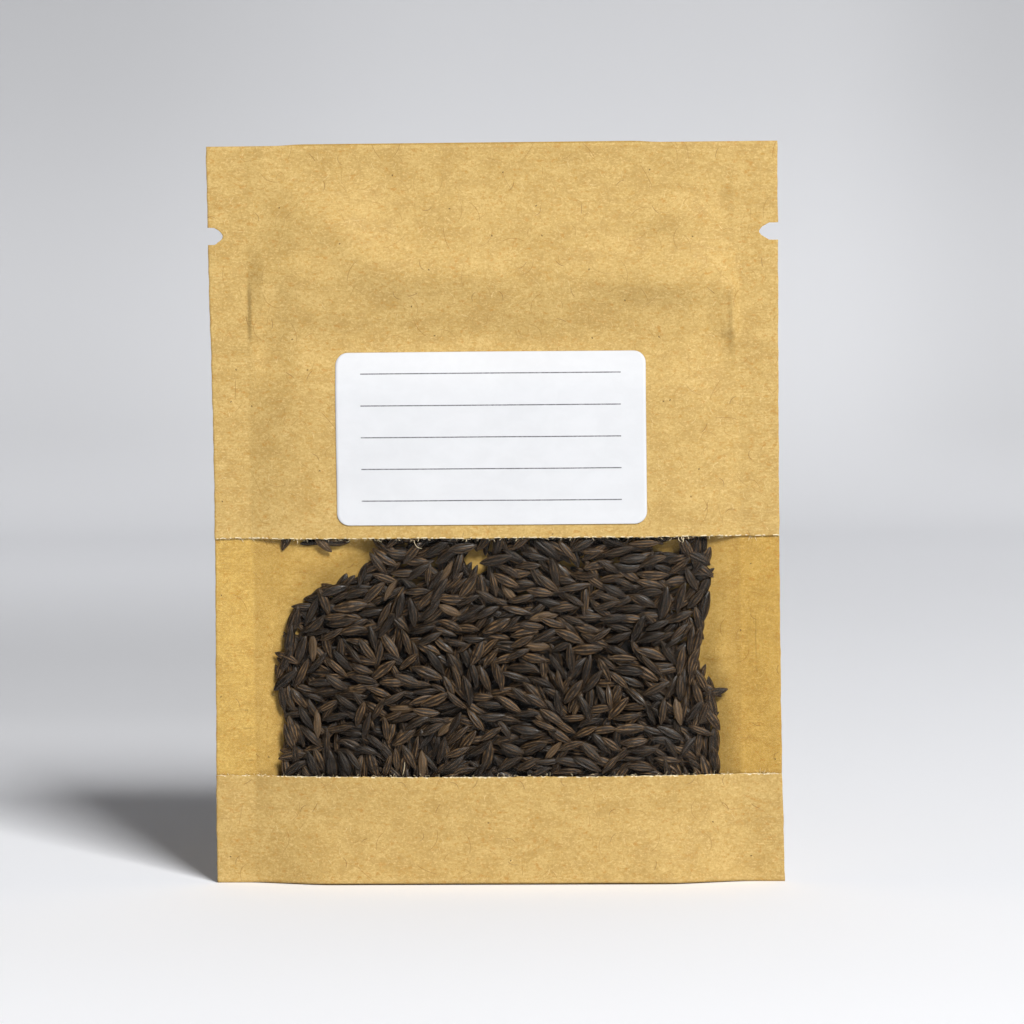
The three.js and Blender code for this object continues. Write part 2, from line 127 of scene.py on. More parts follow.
# Soft waves of the front paper: x, z, half length, half width, turn in degrees, height outward
PAPER_WAVES = [
    (-18.6, 80.2, 8.0, 2.9, -38, 0.31), (-7.5, 75.6, 6.5, 2.4, -4, 0.14),
    (21.5, 73.6, 6.5, 2.2, 0, 0.20), (23.5, 82.0, 4.5, 2.0, 4, 0.14),
    (8.0, 80.5, 5.5, 2.4, 8, 0.10), (-24.0, 80.2, 3.0, 2.0, -10, 0.10),
    (0.0, 67.0, 16.0, 3.0, 0, -0.20), (19.0, 79.4, 3.5, 1.4, 6, -0.10),
    (-12.0, 86.5, 9.0, 2.4, -6, -0.08), (6.0, 93.0, 40.0, 3.2, 0, 0.16),
    (-26.0, 55.0, 3.6, 9.0, 0, 0.06), (25.0, 45.5, 4.5, 3.0, 0, 0.10),
    (-26.0, 63.5, 2.0, 2.2, 20, -0.07), (24.0, 62.5, 4.0, 2.0, -12, -0.06),
    (-20.0, 70.5, 5.0, 1.6, 6, 0.06),
]

# How far the sides are drawn in by the full pocket: heights, and inward distances left and right
PULL_HEIGHTS = [0, 6, 12, 20, 35, 52, 66, 76, 91]
PULLED_IN = {
    -1: [0, 0.02, 0.06, 0.18, 0.34, 0.38, 0.24, 0.08, 0],
    1: [-0.2, -0.14, 0.0, 0.06, 0.12, 0.12, 0.08, 0.02, 0],
}

# Loose fibres at the window's bottom and top edges: x, length, heading, bend and radius
LOWER_WISPS = [
    (-11.6, 2.0, 0.35, -0.3, 0.05), (0.2, 0.7, -1.0, 2.0, 0.035), (0.9, 0.6, 0.8, -2.2, 0.03),
    (16.4, 0.8, 0.9, 1.4, 0.03), (-21.5, 0.6, -0.9, 1.8, 0.03),
]
UPPER_WISPS = [
    (-9.9, 1.9, -0.2, 1.6, 0.035), (-24.4, 0.7, 0.9, -1.6, 0.04), (22.6, 0.8, -0.7, 1.8, 0.05),
    (23.1, 0.9, 0.5, -1.0, 0.045), (23.6, 0.6, 1.3, -1.5, 0.05), (22.9, 0.55, 0.1, 0.4, 0.06),
    (28.2, 0.6, 1.1, 0.8, 0.04), (26.4, 0.5, -0.9, 1.2, 0.04), (6.2, 0.6, 0.8, 1.6, 0.04),
    (14.0, 0.5, -0.5, -1.8, 0.035), (-3.5, 0.5, 0.7, -1.4, 0.035), (-31.5, 0.8, 1.2, -1.0, 0.04),
]

# Outlines of the zip's rib and of its upper jaw: towards the back, and up from the rib's middle.
# None stands for the face that carries them.
ZIP_RIB = [
    (None, 0.25), (0.0, 0.25), (0.0, 0.46), (0.08, 0.5), (0.2, 0.5), (0.36, 0.3), (0.42, 0.12),
    (0.42, -0.12), (0.36, -0.3), (0.2, -0.5), (0.08, -0.5), (0.0, -0.46), (0.0, -0.25), (None, -0.25),
]
ZIP_JAW = [
    (None, 0.62), (-0.06, 0.62), (-0.12, 0.56), (-0.12, 0.39), (-0.2, 0.37), (-0.42, 0.5),
    (-0.42, 0.88), (-0.36, 0.95), (None, 0.95),
]

# Points across the sheets, and the width beyond which columns move in to the notches
PAPER_COLUMNS = 281
STRIP_COLUMNS = 141
FIXED_HALF_WIDTH = 29.5

# Numbers that pick the wandering lines and uneven surfaces
FRONT_DRAW = 3
BACK_DRAW = 8
CORE_DRAW = 21
FILM_DRAW = 31
NOTCH_DRAW = 40
SIDE_DRAW = 50
FOLD_DRAW = 61
LOWER_EDGE_DRAW = 70
UPPER_EDGE_DRAW = 80
LOWER_TORN_DRAW = 90
UPPER_TORN_DRAW = 91

# Material numbers of a sheet's outer face, inner face and rim where it has one material
ONE_MATERIAL = (0, 0, 0)

# Settings that every colour has
COLOUR = {"size": 3, "subtype": "COLOR", "min": 0, "max": 1}


class KraftSettings(bpy.types.PropertyGroup):
    """Sizes and colours of the two kraft papers"""
    thickness: FloatProperty(
        name="Thickness", description="Thickness of one paper",
        default=THIN_PAPER * MM, min=0.05 * MM, max=0.3 * MM, unit="LENGTH")
    ground: FloatVectorProperty(
        name="Ground", description="Colour of the paper between its fibres",
        default=(0.475, 0.322, 0.108), **COLOUR)
    pale_fibre: FloatVectorProperty(
        name="Pale fibres", description="Colour of the pale fibres",
        default=(0.78, 0.61, 0.32), **COLOUR)
    dark_fibre: FloatVectorProperty(
        name="Dark fibres", description="Colour of the dark fibres and specks",
        default=(0.17, 0.085, 0.028), **COLOUR)
    cut_edge: FloatVectorProperty(
        name="Cut edge", description="Colour of the cut paper's core",
        default=(0.80, 0.68, 0.44), **COLOUR)
    deckle: FloatProperty(
        name="Deckle", description="How far the window's cut edges wander",
        default=0.12 * MM, min=0, max=0.4 * MM, unit="LENGTH")
    fringe_fibres: IntProperty(
        name="Fringe fibres", description="Loose fibres along the window's edges",
        default=420, min=0, max=2000)
    wave: FloatProperty(
        name="Waves", description="Strength of the front paper's soft waves",
        default=3.2, min=0, max=5, subtype="FACTOR")


class FilmSettings(bpy.types.PropertyGroup):
    """Look of the clear window film"""
    thickness: FloatProperty(
        name="Thickness", description="Thickness of the film",
        default=0.05 * MM, min=0.02 * MM, max=0.15 * MM, unit="LENGTH")
    tint: FloatVectorProperty(
        name="Tint", description="Colour that the film lets through",
        default=(0.995, 0.985, 0.965), **COLOUR)
    gloss: FloatProperty(
        name="Roughness", description="Roughness of the film's reflections",
        default=0.12, min=0, max=1, subtype="FACTOR")


class ZipSettings(bpy.types.PropertyGroup):
    """Look of the press-to-close zip"""
    flange: FloatProperty(
        name="Flange thickness", description="Thickness of each zip flange",
        default=0.1 * MM, min=0.05 * MM, max=0.2 * MM, unit="LENGTH")
    colour: FloatVectorProperty(
        name="Colour", description="Colour of the zip's plastic",
        default=(0.80, 0.79, 0.74), **COLOUR)


class LabelSettings(bpy.types.PropertyGroup):
    """Sizes and colours of the label"""
    thickness: FloatProperty(
        name="Thickness", description="Thickness of the label",
        default=0.1 * MM, min=0.05 * MM, max=0.15 * MM, unit="LENGTH")
    colour: FloatVectorProperty(
        name="Colour", description="Colour of the label's paper",
        default=(0.613, 0.624, 0.646), **COLOUR)
    rule_colour: FloatVectorProperty(
        name="Rules", description="Colour of the printed writing lines",
        default=(0.09, 0.09, 0.10), **COLOUR)
    rule_pitch: FloatProperty(
        name="Rule pitch", description="Distance between two writing lines",
        default=3.9 * MM, min=2 * MM, max=8 * MM, unit="LENGTH")


class SeedSettings(bpy.types.PropertyGroup):
    """Number, sizes and colours of the seeds"""
    most: IntProperty(
        name="Most seeds", description="Most seeds that the heap may hold",
        default=2300, min=10, max=4000)
    length: FloatProperty(
        name="Length", description="Mean length of a seed",
        default=3.75 * MM, min=2 * MM, max=6 * MM, unit="LENGTH")
    width: FloatProperty(
        name="Width", description="Mean width of a seed",
        default=1.30 * MM, min=0.4 * MM, max=2 * MM, unit="LENGTH")
    depth: FloatProperty(
        name="Depth", description="Mean thickness of a seed",
        default=0.70 * MM, min=0.2 * MM, max=1 * MM, unit="LENGTH")
    spread: FloatProperty(
        name="Spread", description="How far seeds turn away from their bundle",
        default=math.radians(27), min=0, max=math.pi, subtype="ANGLE")
    care: IntProperty(
        name="Care", description="Places tried for each seed before it is laid in the deepest",
        default=14, min=1, max=100)
    draw: IntProperty(
        name="Draw", description="Number that picks the random places",
        default=11, min=0, max=9999)
    skin: FloatVectorProperty(
        name="Skin", description="Colour of the seeds between their ribs",
        default=(0.0080, 0.0048, 0.0024), **COLOUR)
    # The ribs' lighter colour is partly their own and partly a painted highlight on the ridges.
    rib: FloatVectorProperty(
        name="Ribs", description="Colour of the seeds' ribs",
        default=(0.100, 0.061, 0.029), **COLOUR)


class StageSettings(bpy.types.PropertyGroup):
    """Floor, backdrop, lights and camera"""
    floor: FloatVectorProperty(
        name="Floor", description="Colour of the floor and backdrop",
        default=(0.93, 0.945, 0.985), **COLOUR)
    key_power: FloatProperty(
        name="Key light", description="Power of the key light in watts",
        default=35.0, min=0, max=500)
    fill_power: FloatProperty(
        name="Fill light", description="Power of the fill light in watts",
        default=0.8, min=0, max=500)
    sky: FloatProperty(
        name="Sky", description="Strength of the even light from all round",
        default=0.012, min=0, max=3)


def settings():
    """The packet's settings in the open scene"""
    return bpy.context.scene.seed_packet


# Shapes shared by the sheets

def smooth(share):
    """A share from 0 to 1 with soft ends"""
    share = np.clip(share, 0.0, 1.0)
    return share * share * (3.0 - 2.0 * share)


def step_between(value, low, high):
    """0 below low and 1 above high, with a soft step between"""
    return smooth((np.asarray(value, float) - low) / (high - low))


def bell(value, middle, half):
    """1 at the middle, fading to both sides"""
    return np.exp(-(((value - middle) / half) ** 2))


def ripple(place, draw, lengths):
    """A smooth wandering line of about unit height, made of sines with drawn phases"""
    rng = np.random.default_rng(draw)
    total = np.zeros_like(np.asarray(place, float))
    for length in lengths:
        total = total + np.sin(2 * np.pi * place / length + rng.uniform(0, 2 * np.pi))
    return total / math.sqrt(len(lengths))


def crumple(x, z, draw, lengths):
    """A smooth uneven surface of about unit height"""
    rng = np.random.default_rng(draw)
    total = np.zeros(np.broadcast(x, z).shape)
    for length in lengths:
        for _ in range(3):
            turn = rng.uniform(0, 2 * np.pi)
            phase = rng.uniform(0, 2 * np.pi)
            total = total + np.sin(2 * np.pi * (x * np.cos(turn) + z * np.sin(turn)) / length + phase)
    return total / math.sqrt(3 * len(lengths))


def pocket_half_gap(z):
    """Half the depth of the solids' pocket at height z"""
    z = np.clip(np.asarray(z, float), 0, PACKET_HEIGHT)
    gap = np.full(z.shape, float(POCKET_HALF_GAP[0][1]))
    for (low, low_gap), (high, high_gap) in zip(POCKET_HALF_GAP, POCKET_HALF_GAP[1:]):
        part = low_gap + (high_gap - low_gap) * smooth((z - low) / (high - low))
        gap = np.where((z >= low) & (z <= high), part, gap)
    return gap


def zip_share(z):
    """The share of the zip's rows in the pocket's width at height z"""
    return step_between(z, FILM_TOP, ZIP_BOTTOM) * (1 - step_between(z, ZIP_TOP, PACKET_HEIGHT))


def pocket_depth(z):
    """How far the pocket's inner faces stand from the middle plane where it is full"""
    return pocket_half_gap(z) + CAD_PAPER - THIN_PAPER


def fullness(x, z):
    """The share of the pocket's fullness across the width: 1 in the middle, 0 at the side seals"""
    power = 4 - 1.7 * (1 - step_between(z, 8, 17))
    pocket = np.maximum(0, 1 - (np.abs(x) / SEAL_EDGE) ** power)
    at_zip, at_fold = zip_share(z), 1 - step_between(z, FOLD_RADIUS, FILM_BOTTOM)
    zip_level = smooth((SEAL_EDGE + 0.4 - np.abs(x)) / 7.0)
    fold_level = smooth((SEAL_EDGE + 2 - np.abs(x)) / 12.0)
    return pocket * (1 - at_zip - at_fold) + zip_level * at_zip + fold_level * at_fold


def zip_rows(z):
    """1 between the zip's lower and upper edges, 0 beyond"""
    above = step_between(z, ZIP_BOTTOM - 0.5, ZIP_BOTTOM + 0.1)
    return above * (1 - step_between(z, ZIP_TOP - 0.1, ZIP_TOP + 0.5))


def front_waves(x, z):
    """Soft waves of the front paper, outward, that fade out in the seals and towards the fold"""
    total = 0.035 * crumple(x, z, FRONT_DRAW, [9.0, 14.0, 23.0])
    for wx, wz, half_length, half_width, turn, height in PAPER_WAVES:
        cosine, sine = math.cos(math.radians(turn)), math.sin(math.radians(turn))
        u = ((x - wx) * cosine + (z - wz) * sine) / half_length
        v = (-(x - wx) * sine + (z - wz) * cosine) / half_width
        total = total + height * np.exp(-(u * u + v * v))
    swell = -0.15 * bell(z, 66.3, 3.6) + 0.24 * bell(z, 75.0, 3.0) - 0.08 * bell(z, 84.0, 4.0)
    inside = smooth((30.2 - np.abs(x)) / 2.4)
    above = step_between(z, WINDOW_TOP - 1, WINDOW_TOP + 5)
    strength = settings().kraft.wave
    return strength * (total + swell) * inside * (0.25 + 0.75 * above) * step_between(z, 0.5, 6)


def zip_end_step(x, z):
    """The zip's bulge ends in a sharp little step at each side seal, creased on the right."""
    rows = step_between(z, 66.6, 68.2) * (1 - step_between(z, 73.2, 74.6))
    step = 0.46 * rows * smooth((30.1 - np.abs(x)) / 0.45) * smooth((np.abs(x) - 26.0) / 3.6)
    long = step_between(z, 64.5, 67) * (1 - step_between(z, 73.6, 75.2))
    ridge = 0.16 * long * bell(x, 29.45, 0.34)
    curl = 28.75 + 0.16 * np.sin(z * 2.1) + 0.10 * np.sin(z * 4.7)
    crease = -0.11 * step_between(z, 68.4, 69.2) * (1 - step_between(z, 71.8, 72.8)) * bell(x, curl, 0.18)
    return step + ridge + crease


def seal_relief(x, z):
    """Flat seals with the zip's flanges showing through as a slight band"""
    edge = -0.05 * step_between(np.abs(x), 29.75, 30.15)
    edge = edge + 0.07 * bell(z, ZIP_TOP + 0.25, 0.24) * step_between(np.abs(x), 28.6, 29.6)
    return 0.13 * zip_rows(z) * step_between(np.abs(x), 26.0, 30.0) + edge


def flap_curl(x, z):
    """The side seals curl a little to the front beside the window."""
    return 0.5 * smooth((np.abs(x) - 28.5) / 6.5) * bell(z, 27.7, 13.0)


def upper_swell(x, z):
    """The front paper stands fuller beside the label, and slopes to the seals."""
    rows = step_between(z, WINDOW_TOP - 12, WINDOW_TOP + 4) * (1 - step_between(z, 60, 68))
    return 0.55 * rows * np.clip(1 - (np.abs(x) / SEAL_EDGE) ** 5, 0, 1)


def inner_front(x, z):
    """How far the front paper's inner face stands before the middle plane"""
    full = fullness(x, z)
    gap = 0.11 * (1 - full) + pocket_depth(z) * full + front_waves(x, z)
    return gap + zip_end_step(x, z) + seal_relief(x, z) + flap_curl(x, z) + upper_swell(x, z)


def heap_outline():
    """The heap's outline as a smooth closed line of points"""
    marks = np.array(HEAP_OUTLINE, float)
    before, after, beyond = (np.roll(marks, k, 0) for k in (1, -1, -2))
    out = []
    for p0, p1, p2, p3 in zip(before, marks, after, beyond):
        for t in np.linspace(0, 1, 8, endpoint=False):
            point = (2 * p1) + (p2 - p0) * t + (2 * p0 - 5 * p1 + 4 * p2 - p3) * t ** 2
            out.append(0.5 * (point + (3 * p1 - p0 - 3 * p2 + p3) * t ** 3))
    return np.array(out)


def heap_distance(x, z):
    """How far a place lies outside the heap's outline, negative inside"""
    line = heap_outline()
    nearest = np.full(np.broadcast(x, z).shape, 1e9)
    inside = np.zeros(nearest.shape, bool)
    for (ax, az), (bx, bz) in zip(line, np.roll(line, -1, 0)):
        run_x, run_z = bx - ax, bz - az
        share = np.clip(((x - ax) * run_x + (z - az) * run_z) / (run_x ** 2 + run_z ** 2 + 1e-12), 0, 1)
        nearest = np.minimum(nearest, np.hypot(x - ax - share * run_x, z - az - share * run_z))
        crossed = (az > z) != (bz > z)
        inside ^= crossed & (x < ax + (z - az) / (bz - az if bz != az else 1e-12) * run_x)
    return np.where(inside, -nearest, nearest)


def bare_share(x, z):
    """1 where the pocket holds no seeds and lies nearly shut, 0 over the heap"""
    rows = step_between(z, WINDOW_BOTTOM - 4, WINDOW_BOTTOM + 4) * (1 - step_between(z, 50, 60))
    return smooth((heap_distance(x, z) - 0.2) / 3.4) * rows


def inner_back(x, z):
    """How far the back paper's inner face lies behind the middle plane"""
    full = fullness(x, z)
    half = pocket_depth(z)
    shut = 0.74 * bare_share(x, z) * np.maximum(2 * half - 0.4, 0)
    waves = 0.06 * crumple(x, z, BACK_DRAW, [13.0, 21.0, 34.0]) * smooth((30.0 - np.abs(x)) / 4)
    relief = waves * step_between(z, 0.5, 6) + seal_relief(x, z) - flap_curl(x, z)
    return 0.06 * (1 - full) + (half - shut) * full + relief


def side_edge(side, z):
    """How far the packet reaches to one side at height z"""
    return HALF_WIDTH - np.interp(z, PULL_HEIGHTS, PULLED_IN[side])


def notch_edge(side, z):
    """How far the paper reaches to one side at height z, with its tear notch"""
    depth = NOTCH_DEPTHS[side]
    shoulder = HALF_WIDTH - depth * NOTCH_STRAIGHT_SHARE
    tip = HALF_WIDTH - depth
    t = np.linspace(0, 1, 60)
    heights = (1 - t) ** 2 * NOTCH_HALF_OPENING + 2 * (1 - t) * t * NOTCH_HALF_OPENING * NOTCH_BLUNTNESS
    edges = tip + (1 - t) ** 2 * (shoulder - tip)
    offset = np.abs(np.asarray(z, float) - NOTCH_HEIGHT)
    inside = np.interp(offset, heights[::-1], edges[::-1])
    rag = 0.035 * ripple(z, NOTCH_DRAW + side, [0.31, 0.53, 0.9])
    straight = side_edge(side, z) + 0.03 * ripple(z, SIDE_DRAW + side, [2.3, 4.1, 9.0])
    return np.where(offset < NOTCH_HALF_OPENING, inside + rag, straight)


def sheet_columns(z):
    """The papers' columns at height z, drawn in to the notches at the edges"""
    columns = np.linspace(-HALF_WIDTH, HALF_WIDTH, PAPER_COLUMNS)
    out = columns.copy()
    for side in (-1, 1):
        beyond = side * columns > FIXED_HALF_WIDTH
        share = (side * columns[beyond] - FIXED_HALF_WIDTH) / (HALF_WIDTH - FIXED_HALF_WIDTH)
        out[beyond] = side * (FIXED_HALF_WIDTH + share * (notch_edge(side, z) - FIXED_HALF_WIDTH))
    return out


def strip_columns(z):
    """Columns of a strip that runs from side to side, just inside the packet's edges"""
    columns = np.linspace(-HALF_WIDTH, HALF_WIDTH, STRIP_COLUMNS)
    left, right = side_edge(-1, z) - 0.1, side_edge(1, z) - 0.1
    return np.where(columns < 0, columns * left / HALF_WIDTH, columns * right / HALF_WIDTH)


def notch_rows():
    """Heights of the rows that carry the tear notches"""
    low, high = NOTCH_HEIGHT - NOTCH_HALF_OPENING, NOTCH_HEIGHT + NOTCH_HALF_OPENING
    beyond = 0.012
    inner = np.linspace(low + beyond, high - beyond, 15)
    return np.concatenate([[low - beyond], inner, [high + beyond]])


def spaced_rows(low, high, pitch, extra=()):
    """Rows from low to high, with every height of extra among them"""
    count = max(2, int(round((high - low) / pitch)) + 1)
    rows = np.linspace(low, high, count)
    extra = np.array([e for e in extra if low < e < high])
    if len(extra):
        keep = np.min(np.abs(rows[:, None] - extra[None, :]), axis=1) > pitch * 0.35
        keep[0] = keep[-1] = True
        rows = np.concatenate([rows[keep], extra])
    return np.unique(rows)


# Meshes

def add_piece(name, points, faces, materials, face_materials=None, smooth_shading=True, marks=None):
    """A mesh object from points in millimetres and faces"""
    mesh = bpy.data.meshes.new(name)
    mesh.from_pydata((np.asarray(points, float) * MM).tolist(), [], [list(map(int, f)) for f in faces])
    for material in materials:
        mesh.materials.append(material)
    if face_materials is not None:
        mesh.polygons.foreach_set("material_index", np.asarray(face_materials, np.int32))
    mesh.polygons.foreach_set("use_smooth", np.full(len(mesh.polygons), smooth_shading))
    for mark, values in (marks or {}).items():
        layer = mesh.attributes.new(mark, "FLOAT_VECTOR", "POINT")
        layer.data.foreach_set("vector", np.asarray(values, np.float32).ravel())
    mesh.update()
    piece = bpy.data.objects.new(name, mesh)
    bpy.context.scene.collection.objects.link(piece)
    return piece


def settle(piece, node):
    """The piece rides on the packet's one body and stands for its node"""
    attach(piece, "root")
    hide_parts(node)


def row_of_points(x, y, z):
    """One row of points, from places, depths and heights that may each be one number"""
    return np.stack(np.broadcast_arrays(x, y, z), 1)


def torn_edge(marks, strip, draw, level):
    """Gives many faces of one strip of the outer face the cut paper's pale core"""
    across = PAPER_COLUMNS - 1
    torn = ripple(np.arange(across) * 0.25, draw, [1.1, 2.3, 0.6]) > level
    marks[strip * across:(strip + 1) * across][torn] = 2
    return marks


def ring_walls(rings, sides):
    """Faces of a closed tube of rings, with its two flat ends"""
    faces = []
    for r in range(rings - 1):
        for k in range(sides):
            n = (k + 1) % sides
            faces.append([r * sides + k, r * sides + n, (r + 1) * sides + n, (r + 1) * sides + k])
    faces.append(list(range(sides))[::-1])
    faces.append([(rings - 1) * sides + k for k in range(sides)])
    return faces


def sheet(outer, inner, materials=(0, 1, 2)):
    """A closed sheet between two grids of points: its points, faces and face materials"""
    rows, columns = outer.shape[:2]
    points = np.concatenate([outer.reshape(-1, 3), inner.reshape(-1, 3)])
    index = np.arange(rows * columns).reshape(rows, columns)
    other = index + rows * columns
    a, b, c, d = index[:-1, :-1], index[:-1, 1:], index[1:, 1:], index[1:, :-1]
    front = np.stack([a, b, c, d], -1).reshape(-1, 4)
    back = np.stack([a, d, c, b], -1).reshape(-1, 4) + rows * columns
    rim = []
    for r in range(rows - 1):
        rim.append([index[r, 0], index[r + 1, 0], other[r + 1, 0], other[r, 0]])
        rim.append([index[r + 1, -1], index[r, -1], other[r, -1], other[r + 1, -1]])
    for k in range(columns - 1):
        rim.append([index[0, k + 1], index[0, k], other[0, k], other[0, k + 1]])
        rim.append([index[-1, k], index[-1, k + 1], other[-1, k + 1], other[-1, k]])
    faces = np.concatenate([front, back, np.array(rim)])
    marks = np.repeat(materials, [len(front), len(back), len(rim)])
    return points, faces, marks


def tube(path, radius, sides=3):
    """A thin closed tube along a path, tapered at its ends: its points and faces"""
    path = np.asarray(path, float)
    tangent = np.gradient(path, axis=0)
    tangent /= np.linalg.norm(tangent, axis=1)[:, None] + 1e-12
    across = np.cross(tangent, [0.3, 1.0, 0.2])
    across /= np.linalg.norm(across, axis=1)[:, None] + 1e-12
    out = np.cross(tangent, across)
    along = np.linspace(0, 1, len(path))
    width = radius * (0.35 + 0.65 * np.sin(np.pi * np.clip(along * 0.8 + 0.15, 0, 1)))
    turn = np.arange(sides) * 2 * np.pi / sides
    ring = across[:, None] * np.cos(turn)[None, :, None] + out[:, None] * np.sin(turn)[None, :, None]
    points = (path[:, None] + ring * width[:, None, None]).reshape(-1, 3)
    return points, ring_walls(len(path), sides)


def join(parts):
    """Joins (points, faces, material) parts: points, faces and face materials"""
    points, faces, marks, start = [], [], [], 0
    for part_points, part_faces, material in parts:
        points.append(np.asarray(part_points))
        faces += [[int(i) + start for i in f] for f in part_faces]
        if np.isscalar(material):
            marks += [material] * len(part_faces)
        else:
            marks += list(material)
        start += len(part_points)
    return np.concatenate(points), faces, marks


def deckle_edge(x, draw):
    """How far a cut window edge wanders from its straight line"""
    edge = 0.55 * ripple(x, draw, [0.9, 1.7, 3.3]) + 0.35 * ripple(x, draw + 1, [0.55, 0.7])
    edge = edge + 0.5 * ripple(x, draw + 2, [11, 19])
    return edge * settings().kraft.deckle / MM * 0.6


def fringe(edge_height, down, count, draw, wisps):
    """Loose fibres that hang from a cut edge over the film"""
    rng = np.random.default_rng(draw)
    fibres = []
    for x in rng.uniform(-34.5, 34.5, count):
        length = rng.gamma(2.2, 0.11) + 0.08
        heading = rng.normal(0, 0.9)
        fibres.append((x, length, heading, rng.normal(0, 2.2), rng.uniform(0.018, 0.034)))
    steps = 6
    t = np.linspace(0, 1, steps)
    out = []
    for x, length, heading, bend, radius in fibres + wisps:
        turn = heading + bend * t
        dx = np.cumsum(np.sin(turn)) * length / steps
        dz = np.cumsum(np.cos(turn)) * length / steps * down
        px = x + dx - dx[0]
        pz = edge_height + float(deckle_edge(np.array([x]), draw)[0]) - 0.04 * down + dz
        lift = 0.03 + 0.10 * t * rng.uniform(0.1, 1.0)
        py = -(inner_front(px, np.full(steps, edge_height)) + lift)
        out.append((*tube(np.stack([px, py, pz], 1), radius), 3))
    return out


# Materials

def new_material(name):
    """An empty material and the wiring of its node tree"""
    material = bpy.data.materials.new(name)
    material.use_nodes = True
    material.node_tree.nodes.clear()
    return material, Wiring(material.node_tree)


def shade(value, by=1.0):
    """A colour with alpha 1, times one number or three and kept within 1"""
    shares = (by,) * 3 if isinstance(by, float) else by
    return (*[min(1, c * k) for c, k in zip(value, shares)], 1.0)


class Wiring:
    """Short ways to place and join nodes in one tree"""

    def __init__(self, tree):
        self.tree = tree

    def node(self, kind, **values):
        node = self.tree.nodes.new(kind)
        for key, value in values.items():
            setattr(node, key, value)
        return node

    def link(self, source, target):
        self.tree.links.new(source, target)

    def feed(self, socket, value):
        """Joins another node's output to a socket, or sets the socket's own value"""
        if isinstance(value, bpy.types.NodeSocket):
            self.link(value, socket)
        else:
            socket.default_value = value

    def math(self, operation, a, b=None):
        node = self.node("ShaderNodeMath", operation=operation)
        for socket, value in zip(node.inputs, (a, b)):
            if value is not None:
                self.feed(socket, value)
        return node.outputs[0]

    def times(self, a, b):
        return self.math("MULTIPLY", a, b)

    def vector(self, operation, a, b):
        node = self.node("ShaderNodeVectorMath", operation=operation)
        self.feed(node.inputs[0], a)
        self.feed(node.inputs[1], b)
        return node.outputs["Vector"]

    def combine(self, x, y, z):
        node = self.node("ShaderNodeCombineXYZ")
        for socket, value in zip(node.inputs, (x, y, z)):
            self.feed(socket, value)
        return node.outputs[0]

    def separate(self, vector):
        node = self.node("ShaderNodeSeparateXYZ")
        self.link(vector, node.inputs[0])
        return node.outputs

    def span(self, value, low, high, to_low=0.0, to_high=1.0):
        """The value's soft way from low to high, mapped to another pair of values"""
        node = self.node("ShaderNodeMapRange", interpolation_type="SMOOTHSTEP")
        for socket, v in zip(node.inputs[:5], (value, low, high, to_low, to_high)):
            self.feed(socket, v)
        return node.outputs[0]

    def mix(self, factor, a, b, blend="MIX"):
        """Two colours mixed by a factor"""
        node = self.node("ShaderNodeMix", data_type="RGBA", blend_type=blend)
        self.feed(node.inputs["Factor"], factor)
        self.feed(node.inputs[6], a)
        self.feed(node.inputs[7], b)
        return node.outputs[2]

    def noise(self, vector, scale, detail=2.0, roughness=0.5, distortion=0.0):
        node = self.node("ShaderNodeTexNoise", noise_dimensions="3D")
        self.feed(node.inputs["Vector"], vector)
        node.inputs["Scale"].default_value = scale
        node.inputs["Detail"].default_value = detail
        node.inputs["Roughness"].default_value = roughness
        node.inputs["Distortion"].default_value = distortion
        return node.outputs[0]

    def group(self, tree, **values):
        node = self.node("ShaderNodeGroup", node_tree=tree)
        for key, value in values.items():
            self.feed(node.inputs[key], value)
        return node.outputs

    def place(self):
        """The object's own coordinates, in metres"""
        return self.node("ShaderNodeTexCoord").outputs["Object"]

    def bump(self, height, strength, distance):
        node = self.node("ShaderNodeBump")
        node.inputs["Strength"].default_value = strength
        node.inputs["Distance"].default_value = distance
        self.link(height, node.inputs["Height"])
        return node.outputs[0]

    def blend(self, factor, first, second):
        """Two shaders mixed by a factor"""
        node = self.node("ShaderNodeMixShader")
        for socket, source in zip(node.inputs, (factor, first, second)):
            self.link(source, socket)
        return node.outputs[0]

    def flat_shader(self, kind, tint):
        """A plain shader of one colour"""
        node = self.node(kind)
        node.inputs["Color"].default_value = tint
        return node

    def show(self, surface):
        """Ends a material's tree with its surface"""
        self.link(surface, self.node("ShaderNodeOutputMaterial").inputs["Surface"])

    def principled(self, base, roughness, specular=0.5, normal=None, alpha=1.0):
        """Ends a material's tree with a Principled shader"""
        shader = self.node("ShaderNodeBsdfPrincipled")
        self.link(base, shader.inputs["Base Color"])
        self.feed(shader.inputs["Roughness"], roughness)
        shader.inputs["Specular IOR Level"].default_value = specular
        shader.inputs["Alpha"].default_value = alpha
        if normal is not None:
            self.link(normal, shader.inputs["Normal"])
        self.show(shader.outputs[0])


def shared_group(name, inputs, outputs, build):
    """The shader node group of that name, built once from inputs (name, default) and output names"""
    tree = bpy.data.node_groups.get(name)
    if tree:
        return tree
    tree = bpy.data.node_groups.new(name, "ShaderNodeTree")
    for label, default in [("Vector", None)] + inputs:
        kind = "NodeSocketVector" if default is None else "NodeSocketFloat"
        socket = tree.interface.new_socket(label, in_out="INPUT", socket_type=kind)
        if default is not None:
            socket.default_value = default
    for label in outputs:
        tree.interface.new_socket(label, in_out="OUTPUT", socket_type="NodeSocketFloat")
    w = Wiring(tree)
    results = build(w, w.node("NodeGroupInput").outputs)
    target = w.node("NodeGroupOutput").inputs
    for label, result in zip(outputs, results):
        w.link(result, target[label])
    return tree


